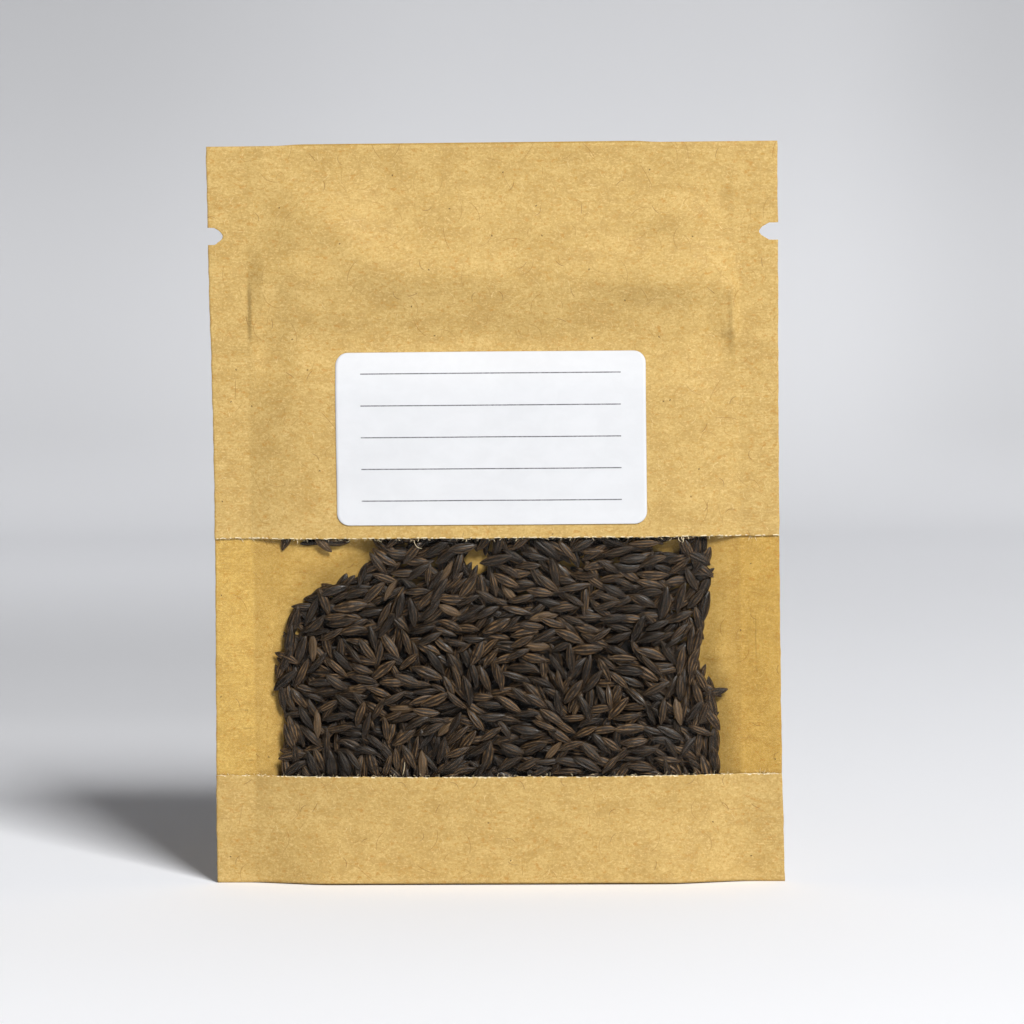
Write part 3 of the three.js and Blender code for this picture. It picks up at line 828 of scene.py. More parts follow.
def strewn_fibres():
    """Short bent strokes strewn over a flat sheet, one to a cell"""
    def build(w, inputs):
        scaled = w.node("ShaderNodeVectorMath", operation="SCALE")
        w.link(inputs["Vector"], scaled.inputs[0])
        w.link(inputs["Cells"], scaled.inputs["Scale"])
        cells = w.node("ShaderNodeTexVoronoi", voronoi_dimensions="2D", feature="F1")
        w.link(scaled.outputs[0], cells.inputs["Vector"])
        cells.inputs["Scale"].default_value = 1.0
        x, y, _ = w.separate(w.vector("SUBTRACT", scaled.outputs[0], cells.outputs["Position"]))
        turn_draw, share_draw, bend_draw = w.separate(cells.outputs["Color"])
        full_turn = 6.283
        turn = w.times(w.times(w.math("SUBTRACT", turn_draw, 0.5), full_turn), inputs["Lie"])
        cosine, sine = w.math("COSINE", turn), w.math("SINE", turn)
        u = w.math("ADD", w.times(x, cosine), w.times(y, sine))
        v = w.math("SUBTRACT", w.times(y, cosine), w.times(x, sine))
        bend = w.times(w.math("SUBTRACT", bend_draw, 0.5), inputs["Bend"])
        bowed = w.math("ABSOLUTE", w.math("ADD", v, w.times(bend, w.times(u, u))))
        across = w.span(w.math("DIVIDE", bowed, inputs["Width"]), 0.5, 1.3, 1.0, 0.0)
        along = w.span(w.math("DIVIDE", w.math("ABSOLUTE", u), inputs["Length"]), 0.7, 1.1, 1.0, 0.0)
        chosen = w.math("LESS_THAN", share_draw, inputs["Share"])
        mask = w.times(w.times(across, along), chosen)
        return mask, w.math("DIVIDE", share_draw, inputs["Share"])

    inputs = [("Cells", 500.0), ("Length", 0.34), ("Width", 0.04)]
    inputs += [("Bend", 2.0), ("Share", 0.7), ("Lie", 0.5)]
    return shared_group("strewn fibres", inputs, ["Mask", "Tone"], build)


def paper_grain():
    """Cloudy mottling and fine grain of pressed pulp, with fibres that lie mostly across"""
    def build(w, inputs):
        place = inputs["Vector"]
        clouds = w.noise(w.vector("MULTIPLY", place, (300.0, 420.0, 470.0)), 1.0, 4.0, 0.62, 0.4)
        grain = w.noise(place, 3600.0, 2.5, 0.75)
        streaks = w.noise(w.vector("MULTIPLY", place, (1700.0, 2600.0, 3900.0)), 1.0, 3.0, 0.68, 0.6)
        return clouds, grain, streaks

    return shared_group("paper grain", [], ["Clouds", "Grain", "Streaks"], build)


def heat_seal():
    """The fine cross-hatched embossing of a heat-sealed side, with the mask of the two seals"""
    def build(w, inputs):
        place = inputs["Vector"]
        x, _, z = w.separate(place)
        mask = w.span(w.math("ABSOLUTE", x), (SEAL_EDGE - 0.3) * MM, (SEAL_EDGE + 0.3) * MM)
        rate = w.math("DIVIDE", 6.2832, inputs["Pitch"])
        wander = w.times(w.noise(place, 420.0, 2.0), 7.0)
        level = w.math("SINE", w.math("ADD", w.times(z, rate), wander))
        upright = w.math("SINE", w.math("ADD", w.times(x, w.times(rate, 0.83)), wander))
        patchy = w.span(w.noise(place, 190.0, 2.0), 0.40, 0.66, 0.0, 1.0)
        height = w.times(w.math("ADD", level, w.times(upright, 0.4)), patchy)
        return mask, w.times(height, mask)

    return shared_group("heat seal", [("Pitch", 0.36 * MM)], ["Mask", "Height"], build)


def sheet_place(w):
    """Flat coordinates of a paper: across, up, and set apart for the back"""
    x, y, z = w.separate(w.place())
    behind = w.math("GREATER_THAN", y, 0.0)
    return w.combine(w.math("ADD", x, w.times(behind, 0.217)), z, 0.0)


def fibre_layer(w, base, flat, strength, tint, toned=True, **form):
    """Strews one kind of fibre over the base colour: the new base colour and the fibres' mask"""
    fibres = w.group(strewn_fibres(), Vector=flat, **form)
    if toned:
        strength = w.times(fibres["Tone"], strength)
    return w.mix(w.times(fibres["Mask"], strength), base, tint), fibres["Mask"]


def kraft_material(name, inside=False):
    """Unbleached kraft paper with mottling, pale and dark fibres, specks and pressed seals. The inside is
    painted darker in the pocket than in the seals, and darker again towards the right side, as painted shade.
    """
    found = bpy.data.materials.get(name)
    if found:
        return found
    own = settings().kraft
    material, w = new_material(name)
    place = w.place()
    flat = sheet_place(w)

    def shifted(x, y):
        """Another part of the strewn fibres' endless field"""
        return w.vector("ADD", flat, (x, y, 0.0))

    grain = w.group(paper_grain(), Vector=place)
    seal = w.group(heat_seal(), Vector=place)
    deep = shade(own.ground, (0.80, 0.75, 0.66))
    ochre = shade(own.ground, (0.90, 0.76, 0.50))
    light = shade(own.ground, (1.26, 1.30, 1.52))
    base = w.mix(w.span(grain["Clouds"], 0.34, 0.56, 0.62, 0.0), shade(own.ground), deep)
    base = w.mix(w.span(grain["Clouds"], 0.52, 0.70, 0.0, 0.38), base, light)
    base = w.mix(w.span(grain["Streaks"], 0.50, 0.74, 0.0, 0.95), base, light)
    base = w.mix(w.span(grain["Streaks"], 0.48, 0.28, 0.0, 0.95), base, ochre)
    base = w.mix(w.span(grain["Grain"], 0.49, 0.30, 0.0, 0.80), base, deep)
    base = w.mix(w.span(grain["Grain"], 0.52, 0.74, 0.0, 0.85), base, light)
    base, pale = fibre_layer(
        w, base, flat, 0.34, shade(own.pale_fibre),
        Cells=760.0, Length=0.34, Width=0.030, Bend=2.6, Share=0.22, Lie=0.7)
    base, _ = fibre_layer(
        w, base, shifted(0.031, 0.017), 0.60, shade(own.ground, (0.62, 0.50, 0.36)),
        Cells=560.0, Length=0.38, Width=0.024, Bend=3.4, Share=0.55, Lie=0.6)
    spots = w.noise(w.vector("MULTIPLY", place, (1500.0, 1900.0, 2100.0)), 1.0, 2.0, 0.6)
    base = w.mix(w.span(spots, 0.58, 0.74, 0.0, 0.62), base, shade(own.ground, (0.86, 0.62, 0.34)))
    base, _ = fibre_layer(
        w, base, shifted(0.051, 0.063), 0.74, shade(own.ground, (0.52, 0.38, 0.26)),
        Cells=270.0, Length=0.40, Width=0.0100, Bend=3.0, Share=0.50, Lie=0.8)
    base, _ = fibre_layer(
        w, base, shifted(0.073, 0.041), 0.66, shade(own.dark_fibre), toned=False,
        Cells=300.0, Length=0.20, Width=0.013, Bend=5.5, Share=0.20, Lie=0.9)
    base, _ = fibre_layer(
        w, base, shifted(0.011, 0.093), 0.85, shade(own.dark_fibre, 0.35), toned=False,
        Cells=250.0, Length=0.030, Width=0.018, Bend=0.0, Share=0.2, Lie=1.0)
    if inside:
        # The inside face has its own warmer colour. In the pocket it is painted darker than in the seals, as
        # painted shade.
        pocket_shade_and_seal_tone = w.mix(seal["Mask"], (0.90, 0.86, 0.66, 1.0), (1.04, 1.01, 0.78, 1.0))
        base = w.mix(1.0, base, pocket_shade_and_seal_tone, "MULTIPLY")
        # Painted shade: the inside is painted darker towards the right side.
        right = w.span(w.separate(place)[0], 27.5 * MM, 31 * MM)
        base = w.mix(right, base, w.mix(1.0, base, (0.88, 0.84, 0.74, 1.0), "MULTIPLY"))
    height = w.math("ADD", w.times(grain["Grain"], 0.35), w.times(grain["Streaks"], 0.5))
    height = w.math("ADD", height, w.times(pale, 0.22))
    height = w.math("ADD", height, w.times(seal["Height"], 0.16))
    roughness = w.span(grain["Clouds"], 0.3, 0.7, 0.62, 0.78)
    w.principled(base, roughness, 0.28, w.bump(height, 0.55, 0.09 * MM))
    return material


def cut_paper_material():
    """The pale, fuzzy core of the paper where it is cut, and its loose fibres"""
    found = bpy.data.materials.get("cut paper")
    if found:
        return found
    core = settings().kraft.cut_edge
    material, w = new_material("cut paper")
    grain = w.group(paper_grain(), Vector=w.place())
    base = w.mix(w.span(grain["Grain"], 0.3, 0.7), shade(core, 0.78), shade(core, 1.12))
    w.principled(base, w.span(grain["Clouds"], 0.3, 0.7, 0.75, 0.95))
    return material


def film_material():
    """Clear glossy film with a faint haze and fine scuffs"""
    own = settings().film
    material, w = new_material("clear film")
    place = w.place()
    seal = w.group(heat_seal(), Vector=place)
    scuffs = w.group(
        strewn_fibres(), Vector=sheet_place(w),
        Cells=190.0, Length=0.36, Width=0.006, Bend=1.6, Share=0.5, Lie=1.0)["Mask"]
    height = w.math("ADD", w.noise(place, 160.0, 2.0), w.times(scuffs, 0.03))
    normal = w.bump(w.math("ADD", height, w.times(seal["Height"], 0.02)), 0.5, 0.12 * MM)
    gloss = w.flat_shader("ShaderNodeBsdfGlossy", (0.95, 0.92, 0.88, 1.0))
    roughness = w.span(w.noise(place, 90.0, 3.0), 0.3, 0.7, own.gloss * 0.8, own.gloss * 1.6)
    w.link(roughness, gloss.inputs["Roughness"])
    w.link(normal, gloss.inputs["Normal"])
    fresnel = w.node("ShaderNodeFresnel")
    fresnel.inputs["IOR"].default_value = 1.45
    w.link(normal, fresnel.inputs["Normal"])
    see = w.flat_shader("ShaderNodeBsdfTransparent", shade(own.tint)).outputs[0]
    haze = w.flat_shader("ShaderNodeBsdfDiffuse", (0.8, 0.8, 0.8, 1.0)).outputs[0]
    veil = w.blend(w.math("ADD", w.times(scuffs, 0.02), 0.001), see, haze)
    front = w.blend(w.times(fresnel.outputs[0], 0.12), veil, gloss.outputs[0])
    clear = w.flat_shader("ShaderNodeBsdfTransparent", (1, 1, 1, 1)).outputs[0]
    w.show(w.blend(w.node("ShaderNodeNewGeometry").outputs["Backfacing"], front, clear))
    return material


def zip_material():
    """Milky polyethylene of the zip"""
    own = settings().zip
    material, w = new_material("zip plastic")
    place = w.place()
    scuffs = w.group(
        strewn_fibres(), Vector=sheet_place(w),
        Cells=260.0, Length=0.4, Width=0.01, Bend=1.0, Share=0.5, Lie=0.4)["Mask"]
    base = w.mix(w.span(w.noise(place, 300.0, 3.0), 0.3, 0.7), shade(own.colour, 0.93), shade(own.colour))
    base = w.mix(w.times(scuffs, 0.3), base, (0.95, 0.95, 0.95, 1))
    w.principled(base, w.span(w.noise(place, 500.0, 2.0), 0.3, 0.7, 0.28, 0.42), alpha=0.6)
    return material


def label_material():
    """Smooth white sticker paper with plain printed writing lines"""
    own = settings().label
    material, w = new_material("label paper")
    place = w.place()
    x, _, z = w.separate(place)
    grain = w.group(paper_grain(), Vector=place)
    base = w.mix(w.span(grain["Clouds"], 0.3, 0.7), shade(own.colour, 0.965), shade(own.colour))
    from_top = w.math("SUBTRACT", (LABEL_MIDDLE[1] + LABEL_SIZE[1] / 2 - FIRST_RULE_DROP) * MM, z)
    line = w.span(w.math("PINGPONG", from_top, own.rule_pitch / 2), 0.055 * MM, 0.085 * MM, 1.0, 0.0)
    across = w.math("ABSOLUTE", w.math("SUBTRACT", x, LABEL_MIDDLE[0] * MM))
    inside = w.span(across, (RULE_HALF_LENGTH - 0.05) * MM, RULE_HALF_LENGTH * MM, 1.0, 0.0)
    below_first = w.math("GREATER_THAN", from_top, -0.3 * MM)
    above_last = w.math("LESS_THAN", from_top, own.rule_pitch * (RULES - 1) + 0.3 * MM)
    rules = w.times(w.times(line, inside), w.times(below_first, above_last))
    patchy = w.span(grain["Grain"], 0.3, 0.6, 0.7, 0.95)
    base = w.mix(w.times(rules, patchy), base, shade(own.rule_colour))
    roughness = w.span(grain["Clouds"], 0.3, 0.7, 0.50, 0.62)
    w.principled(base, roughness, 0.25, w.bump(grain["Grain"], 0.25, 0.03 * MM))
    return material


def seed_material():
    """Dark ribbed seed coats, each seed of its own tone, with ribs painted lighter: partly their own colour
    and partly a painted highlight on the ridges
    """
    own = settings().seeds
    material, w = new_material("seed coat")
    marks = w.node("ShaderNodeAttribute", attribute_name="seed_marks")
    across, along, tone = w.separate(marks.outputs["Vector"])
    place = w.place()
    ribs = w.span(w.math("COSINE", w.times(across, 9.2)), -0.15, 0.95)
    fine = w.noise(place, 5200.0, 3.0, 0.6)
    patch = w.noise(place, 1300.0, 2.0, 0.55)
    # Ribs in a lighter colour: partly the ribs' own colour, partly a painted highlight on the ridges.
    rib_highlight_share = w.times(ribs, w.span(patch, 0.36, 0.66, 0.12, 1.0))
    base = w.mix(rib_highlight_share, shade(own.skin), shade(own.rib))
    warm = w.mix(w.span(tone, 0.0, 1.0), (0.40, 0.38, 0.36, 1), (1.75, 1.66, 1.50, 1))
    base = w.mix(1.0, base, warm, "MULTIPLY")
    base = w.mix(w.span(fine, 0.55, 0.8, 0.0, 0.5), base, shade(own.rib, 1.25))
    tip = w.span(w.math("ABSOLUTE", w.math("SUBTRACT", along, 0.5)), 0.40, 0.5, 0.0, 0.55)
    base = w.mix(tip, base, shade(own.rib, 0.9))
    tan = w.math("GREATER_THAN", tone, 0.975)
    base = w.mix(w.times(tan, 0.4), base, (0.15, 0.097, 0.052, 1))
    normal = w.bump(w.math("ADD", ribs, w.times(fine, 0.5)), 0.8, 0.07 * MM)
    w.principled(base, w.span(patch, 0.3, 0.7, 0.30, 0.56), 0.30, normal)
    return material


def stage_material():
    """Matt white paper sweep with a faint cloudy tone and painted shade: darker towards the top and upper
    corners, a little darker in front, and a painted shadow behind the packet to the left
    """
    floor = settings().stage.floor
    material, w = new_material("stage paper")
    place = w.place()
    x, y, z = w.separate(place)
    # Painted shade: the floor is a little darker in front, and the backdrop darker towards its top.
    tone = w.mix(w.span(y, -0.05, 0.12), shade(floor, 0.98), shade(floor))
    tone = w.mix(w.span(z, 0.02, 0.16), tone, shade(floor, 0.72))
    # Painted shade: darker higher up the backdrop and towards its left and right sides.
    high, bend = w.span(z, 0.03, 0.10, 0.0, 0.07), w.span(z, 0.0, 0.02)
    left = w.times(bend, w.span(x, -0.05, -0.15, 0.0, 0.12))
    right = w.times(bend, w.span(x, 0.03, 0.085, 0.0, 0.14))
    # Painted shadow on the floor behind the packet, to its left.
    behind = w.times(w.span(y, 0.08, 0.20), w.span(y, 0.46, 0.26))
    behind = w.times(behind, w.span(x, 0.0, -0.06, 0.0, 0.23))
    painted_shade = w.math("ADD", w.math("ADD", high, left), w.math("ADD", right, behind))
    cloudy = w.span(w.noise(place, 6.0, 2.0), 0.3, 0.7, 0.985, 1.0)
    cloud_and_painted_shade = w.times(cloudy, w.math("SUBTRACT", 1.0, painted_shade))
    w.principled(w.mix(1.0, tone, w.combine(cloud_and_painted_shade, cloud_and_painted_shade, cloud_and_painted_shade), "MULTIPLY"), 0.9, 0.1)
    return material


# The heap of seeds

def inside_outline(outline, x, z):
    """Whether one place lies inside a closed line of points"""
    nx, nz = np.roll(outline[:, 0], -1), np.roll(outline[:, 1], -1)
    crossed = (outline[:, 1] > z) != (nz > z)
    with np.errstate(divide="ignore", invalid="ignore"):
        at = outline[:, 0] + (z - outline[:, 1]) / (nz - outline[:, 1]) * (nx - outline[:, 0])
    return bool(np.count_nonzero(crossed & (x < at)) % 2)


def bundle_angle(x, z):
    """The direction in which the seeds lie at a place"""
    anchors = np.array(SEED_BUNDLES, float)
    apart = (anchors[:, 0] - x) ** 2 + (anchors[:, 1] - z) ** 2
    weight = np.exp(-apart / (2 * BUNDLE_REACH ** 2)) + 1e-9
    double = np.radians(anchors[:, 2]) * 2
    sine, cosine = np.sum(weight * np.sin(double)), np.sum(weight * np.cos(double))
    return 0.5 * math.atan2(float(sine), float(cosine))


def film_depth(x, z):
    """How far the film's inner face stands before the middle plane"""
    return inner_front(x, z) - 0.03 - settings().film.thickness / MM


def seed_profile(t):
    """Half width of a seed along its length, from its base to its beak"""
    places = [0, 0.05, 0.16, 0.32, 0.52, 0.70, 0.86, 0.96, 1]
    return np.interp(t, places, [0.06, 0.30, 0.62, 0.90, 1.0, 0.88, 0.52, 0.22, 0.04])


def seed_size(own, size):
    """Length, width and depth of one seed in millimetres"""
    return own.length / MM * size, own.width / MM * size, own.depth / MM * size


def off_bare_gaps(x, z, spare_x=0.0, spare_z=0.0):
    """Whether a place lies off every bare place, with room to spare"""
    return all(
        ((x - gx) / (rx + spare_x)) ** 2 + ((z - gz) / (rz + spare_z)) ** 2 > 1
        for gx, gz, rx, rz in BARE_GAPS)


class Heap:
    """Seeds laid one on another, from the back paper towards the film"""
    CELL = 0.1
    LEFT, LOW = -30.0, 0.0
    COLUMNS, ROWS = 600, 480
    SINK = 0.09
    LEAST_ROOM = -0.03
    RIM_STEP = 4
    RIM_DEPTH = 1.6
    FLOOR_LIFT = 0.02
    ACROSS = (-27.5, 27.3)
    UP = (8.5, 46.8)
    MOST_MISSES = 60
    STRAY_SHARE = 0.17
    RIM_STRAY_SHARE = 0.5
    SIZE_SPREAD = 0.085
    SIZE_LIMITS = (0.78, 1.2)

    def __init__(self, own):
        self.own = own
        self.rng = np.random.default_rng(own.draw)
        self.outline = heap_outline()
        x = self.LEFT + (np.arange(self.COLUMNS) + 0.5) * self.CELL
        z = self.LOW + (np.arange(self.ROWS) + 0.5) * self.CELL
        gx, gz = np.meshgrid(x, z)
        self.ceiling = film_depth(gx, gz)
        self.level = -inner_back(gx, gz) + self.FLOOR_LIFT
        depth = core_depth(gx, gz)
        self.level = np.maximum(self.level, np.where(depth < NO_CORE, self.ceiling - depth, -NO_CORE))
        rim_cells = (slice(None, None, self.RIM_STEP),) * 2
        self.rim = heap_distance(gx[rim_cells], gz[rim_cells]) > -self.RIM_DEPTH
        self.seeds = []
        sides = np.array([-0.8, -0.45, 0.0, 0.45, 0.8])
        t, a = np.meshgrid(np.linspace(0.04, 0.96, 13), sides, indexing="ij")
        self.foot_u = t - 0.5
        self.foot_v = a * seed_profile(t)
        self.foot_h = seed_profile(t) * np.sqrt(1 - a ** 2)

    def near_rim(self, x, z):
        """Whether a place lies near the heap's outline"""
        pitch = self.RIM_STEP * self.CELL
        i, j = int((z - self.LOW) / pitch), int((x - self.LEFT) / pitch)
        return self.rim[min(i, self.rim.shape[0] - 1), min(j, self.rim.shape[1] - 1)]

    def at(self, grid, x, z):
        """A grid's values at some places"""
        i = np.clip(((z - self.LOW) / self.CELL).astype(int), 0, self.ROWS - 1)
        j = np.clip(((x - self.LEFT) / self.CELL).astype(int), 0, self.COLUMNS - 1)
        return grid[i, j]

    def rest(self, x, z, angle, size):
        """How one seed comes to rest: its height, pitch, roll and the room left before the film"""
        length, width, depth = seed_size(self.own, size)
        ca, sa = math.cos(angle), math.sin(angle)
        u = self.foot_u * length
        v = self.foot_v * width / 2
        half = self.foot_h * depth / 2
        px, pz = x + u * ca - v * sa, z + u * sa + v * ca
        level = self.at(self.level, px, pz) + half
        ceiling = self.at(self.ceiling, px, pz) - half
        first, second = np.max(level[u < 0]), np.max(level[u > 0])
        pitch = float(np.clip((second - first) / (length * 0.5), -0.26, 0.26))
        one, two = np.max(level[v < 0]), np.max(level[v > 0])
        roll = float(np.clip((two - one) / (width * 0.6), -0.5, 0.5)) * 0.8
        for ease in (1.0, 0.6, 0.3, 0.0):
            lean = ease * (pitch * u + roll * v)
            height = float(np.max(level - lean)) - self.SINK
            room = float(np.min(ceiling - height - lean))
            if room > self.LEAST_ROOM:
                return height, pitch * ease, roll * ease, room
        return height, 0.0, 0.0, room

    def lay(self, x, z, angle, size, height, pitch, roll):
        """Puts one seed in its place on the heap"""
        length, width, depth = seed_size(self.own, size)
        ca, sa = math.cos(angle), math.sin(angle)
        reach = length / 2 + 0.2
        j0, j1 = (int((x + side * reach - self.LEFT) / self.CELL) for side in (-1, 1))
        i0, i1 = (int((z + side * reach - self.LOW) / self.CELL) for side in (-1, 1))
        i0, j0 = max(i0, 0), max(j0, 0)
        window = self.level[i0:i1 + 1, j0:j1 + 1]
        gz, gx = np.meshgrid(
            self.LOW + (np.arange(i0, i0 + window.shape[0]) + 0.5) * self.CELL - z,
            self.LEFT + (np.arange(j0, j0 + window.shape[1]) + 0.5) * self.CELL - x, indexing="ij")
        gu, gv = gx * ca + gz * sa, gz * ca - gx * sa
        gt = gu / length + 0.5
        half_width = seed_profile(np.clip(gt, 0, 1))
        share = np.abs(gv) / np.maximum(half_width * width / 2, 1e-6)
        on = (gt > 0) & (gt < 1) & (share < 1)
        dome = half_width * depth / 2 * np.sqrt(np.clip(1 - share ** 2, 0, 1))
        top = height + pitch * gu + roll * gv + dome
        window[on] = np.maximum(window[on], top[on])
        self.seeds.append((x, height, z, angle, pitch, roll, size))

    def allowed(self, x, z):
        """Whether a seed's middle may lie at a place"""
        return inside_outline(self.outline, x, z) and off_bare_gaps(x, z, 0.9, 0.5)

    def within(self, x, z, angle, length):
        """Whether both halves of a seed stay in the heap's outline and off the bare places"""
        dx, dz = math.cos(angle) * length * 0.20, math.sin(angle) * length * 0.20
        ends = ((x - dx, z - dz), (x + dx, z + dz))
        return (all(inside_outline(self.outline, ex, ez) for ex, ez in ends)
                and all(off_bare_gaps(ex, ez) for ex, ez in ends))

    def fill(self):
        """Lays seeds one by one, each in the deepest hollow of a few drawn places"""
        rng, own = self.rng, self.own
        misses = 0
        while len(self.seeds) < own.most - len(STRAY_SEEDS) and misses < self.MOST_MISSES:
            best = None
            for _ in range(own.care):
                x, z = rng.uniform(*self.ACROSS), rng.uniform(*self.UP)
                if not self.allowed(x, z):
                    continue
                stray_share = self.RIM_STRAY_SHARE if self.near_rim(x, z) else self.STRAY_SHARE
                if rng.uniform() < stray_share:
                    angle = rng.uniform(0, math.pi)
                else:
                    angle = bundle_angle(x, z) + rng.normal(0, own.spread)
                size = float(np.clip(rng.normal(1.0, self.SIZE_SPREAD), *self.SIZE_LIMITS))
                if not self.within(x, z, angle, own.length / MM * size):
                    continue
                found = self.rest(x, z, angle, size)
                if found[3] > self.LEAST_ROOM and (best is None or found[3] > best[-1]):
                    best = (x, z, angle, size, *found)
            if best is None:
                misses += 1
                continue
            misses = 0
            self.lay(*best[:-1])
        for x, z, degrees in STRAY_SEEDS:
            angle, size = math.radians(degrees), float(rng.uniform(0.92, 1.08))
            height, pitch, roll, room = self.rest(x, z, angle, size)
            self.lay(x, z, angle, size, height + min(room, 0.0), pitch, roll)
        return self.seeds


def core_depth(x, z):
    """How deep under the film the heap's filled core starts; NO_CORE where there is none"""
    edge = np.minimum(22.0 - np.abs(x + 0.5), np.minimum(z - 1.2, 35.5 - z))
    return np.where(edge > 0, CORE_DEPTH + 1.2 * np.exp(-np.clip(edge, 0, NO_CORE) / 1.2), NO_CORE)


def heap_core():
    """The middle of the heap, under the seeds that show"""
    x = np.linspace(-22.3, 21.3, 45)
    z = np.linspace(1.3, 35.3, 36)
    gx, gz = np.meshgrid(x, z)
    lumps = 0.10 * crumple(gx, gz, CORE_DRAW, [2.3, 3.7])
    film = film_depth(gx, gz)
    depth = np.minimum(film - core_depth(gx, gz), film - CORE_DEPTH - 0.05) + lumps
    back = -inner_back(gx, gz) + 0.25
    front = np.maximum(depth, back + 0.05)
    outer = np.stack([gx, -front, gz], -1)
    inner = np.stack([gx, -back, gz], -1)
    return sheet(outer, inner, ONE_MATERIAL)


def seed_points(own, places):
    """Points, faces and marks of all the seeds in one mesh"""
    rng = np.random.default_rng(own.draw + 1)
    rings = np.array([0.035, 0.13, 0.29, 0.5, 0.70, 0.87, 0.965])
    sides = 8
    turn = (np.arange(sides) + 0.5) * 2 * np.pi / sides
    radius = seed_profile(rings)
    u = np.concatenate([[0.0], np.repeat(rings, sides), [1.0]])
    across = np.concatenate([[0.0], (radius[:, None] * np.cos(turn)[None]).ravel(), [0.0]])
    flat_sine = np.sign(np.sin(turn)) * np.abs(np.sin(turn))[None] ** 0.85
    out = np.concatenate([[0.0], (radius[:, None] * flat_sine).ravel(), [0.0]])
    rib = np.concatenate([[0.0], np.tile(np.cos(turn), len(rings)), [0.0]])
    count = len(u)
    faces = []
    for k in range(sides):
        n = (k + 1) % sides
        faces.append([0, 1 + n, 1 + k])
        for r in range(len(rings) - 1):
            s = 1 + r * sides
            faces.append([s + k, s + n, s + sides + n, s + sides + k])
        s = 1 + (len(rings) - 1) * sides
        faces.append([s + k, s + n, count - 1])
    points, marks = [], []
    for x, rest, z, angle, pitch, roll, size in places:
        length, width, depth = seed_size(own, size)
        width = width * rng.uniform(0.80, 1.16)
        bow = rng.normal(0, 0.07)
        sway = rng.normal(0, 0.10)
        flip = rng.uniform() < 0.5
        share = 1 - u if flip else u
        lu = (share - 0.5) * length
        crown = 1 - (2 * u - 1) ** 2
        lv = across * width / 2 + sway * crown
        lw = out * depth / 2 + bow * crown
        ca, sa = math.cos(angle), math.sin(angle)
        px = x + lu * ca - lv * sa
        pz = z + lu * sa + lv * ca
        front = rest + pitch * lu + roll * lv + lw
        points.append(np.stack([px, -front, pz], 1))
        marks.append(np.stack([rib, u, np.full(count, rng.uniform())], 1))
    all_points = np.concatenate(points)
    x, z = all_points[:, 0], all_points[:, 2]
    clear = 0.03 - inner_back(x, z), film_depth(x, z) - 0.02
    all_points[:, 1] = -np.clip(-all_points[:, 1], *clear)
    all_faces = []
    for i in range(len(places)):
        start = i * count
        all_faces += [[start + j for j in face] for face in faces]
    return all_points, all_faces, np.concatenate(marks)


# Operators, one for each piece and one for the stage

def add_kraft_sheet(name, node, outer, inner, torn, loose_fibres):
    """One kraft paper from its rows of points, with its torn strip and loose fibres"""
    points, faces, marks = sheet(np.array(outer), np.array(inner))
    points, faces, marks = join([(points, faces, torn_edge(marks, *torn))] + loose_fibres)
    cut = cut_paper_material()
    papers = [kraft_material("kraft paper"), kraft_material("kraft paper inside", inside=True), cut, cut]
    settle(add_piece(name, points, faces, papers, marks), node)


class PACKET_OT_folded_sheet(bpy.types.Operator):
    """Build the sheet that is the back panel, the bottom fold and the lower front band"""
    bl_idname = "packet.folded_sheet"
    bl_label = "Folded kraft sheet"

    def back_panel(self, paper, outer, inner):
        """Rows of the back panel, from the mouth down to the fold"""
        for z in spaced_rows(FOLD_RADIUS, PACKET_HEIGHT, 1.0, notch_rows())[::-1]:
            x = sheet_columns(z)
            tab = 0.16 * bell(z, PACKET_HEIGHT, 1.0) * step_between(-np.abs(x + 3), -24, -20)
            gap = inner_back(x, np.full(x.shape, z))
            inner.append(row_of_points(x, gap, z + tab))
            outer.append(row_of_points(x, gap + paper, z + tab))

    def bottom_fold(self, paper, outer, inner):
        """Rows of the two quarter rounds of the fold, from the back to the front"""
        x = sheet_columns(FOLD_RADIUS)
        low = np.full(x.shape, FOLD_RADIUS)
        lift = 0.15 * (1 - np.abs(x / HALF_WIDTH) ** 3)
        lift = lift + 0.01 * (1 + ripple(x, FOLD_DRAW, [17, 29]))
        turns = np.linspace(0, np.pi / 2, 6)
        for side, reach, order in (
            (1, inner_back(x, low) + paper, turns), (-1, inner_front(x, low) + paper, turns[::-1]),
        ):
            radius = np.clip(reach - 0.01, 0.05, FOLD_RADIUS)
            for turn in order:
                for face, depth in ((outer, 0.0), (inner, paper)):
                    r = np.maximum(radius - depth, 0.01)
                    y = side * (reach - radius + r * np.cos(turn))
                    z = FOLD_RADIUS - (FOLD_RADIUS - depth) * np.sin(turn) + lift * np.sin(turn)
                    face.append(row_of_points(x, y, z))

    def front_band(self, paper, outer, inner):
        """Rows of the front band, from the fold up to the window"""
        for z in spaced_rows(FOLD_RADIUS, WINDOW_BOTTOM, 0.5, [13.0, 13.3]):
            near = step_between(z, WINDOW_BOTTOM - 1.0, WINDOW_BOTTOM)
            x = sheet_columns(z)
            gap = inner_front(x, np.full(x.shape, z))
            curl = 0.05 * near
            inner_edge = near * 0.7 * deckle_edge(x, LOWER_EDGE_DRAW + 1)
            inner.append(row_of_points(x, -(gap + curl), z + inner_edge))
            outer_edge = near * deckle_edge(x, LOWER_EDGE_DRAW)
            outer.append(row_of_points(x, -(gap + paper + curl), z + outer_edge))

    def execute(self, context):
        own = settings().kraft
        paper = own.thickness / MM
        outer, inner = [], []
        self.back_panel(paper, outer, inner)
        self.bottom_fold(paper, outer, inner)
        self.front_band(paper, outer, inner)
        loose = fringe(WINDOW_BOTTOM, 1, own.fringe_fibres // 2, LOWER_EDGE_DRAW, LOWER_WISPS)
        torn = len(outer) - 2, LOWER_TORN_DRAW, 0.5
        add_kraft_sheet("folded_kraft_sheet_paper", "folded_kraft_sheet", outer, inner, torn, loose)
        return {"FINISHED"}


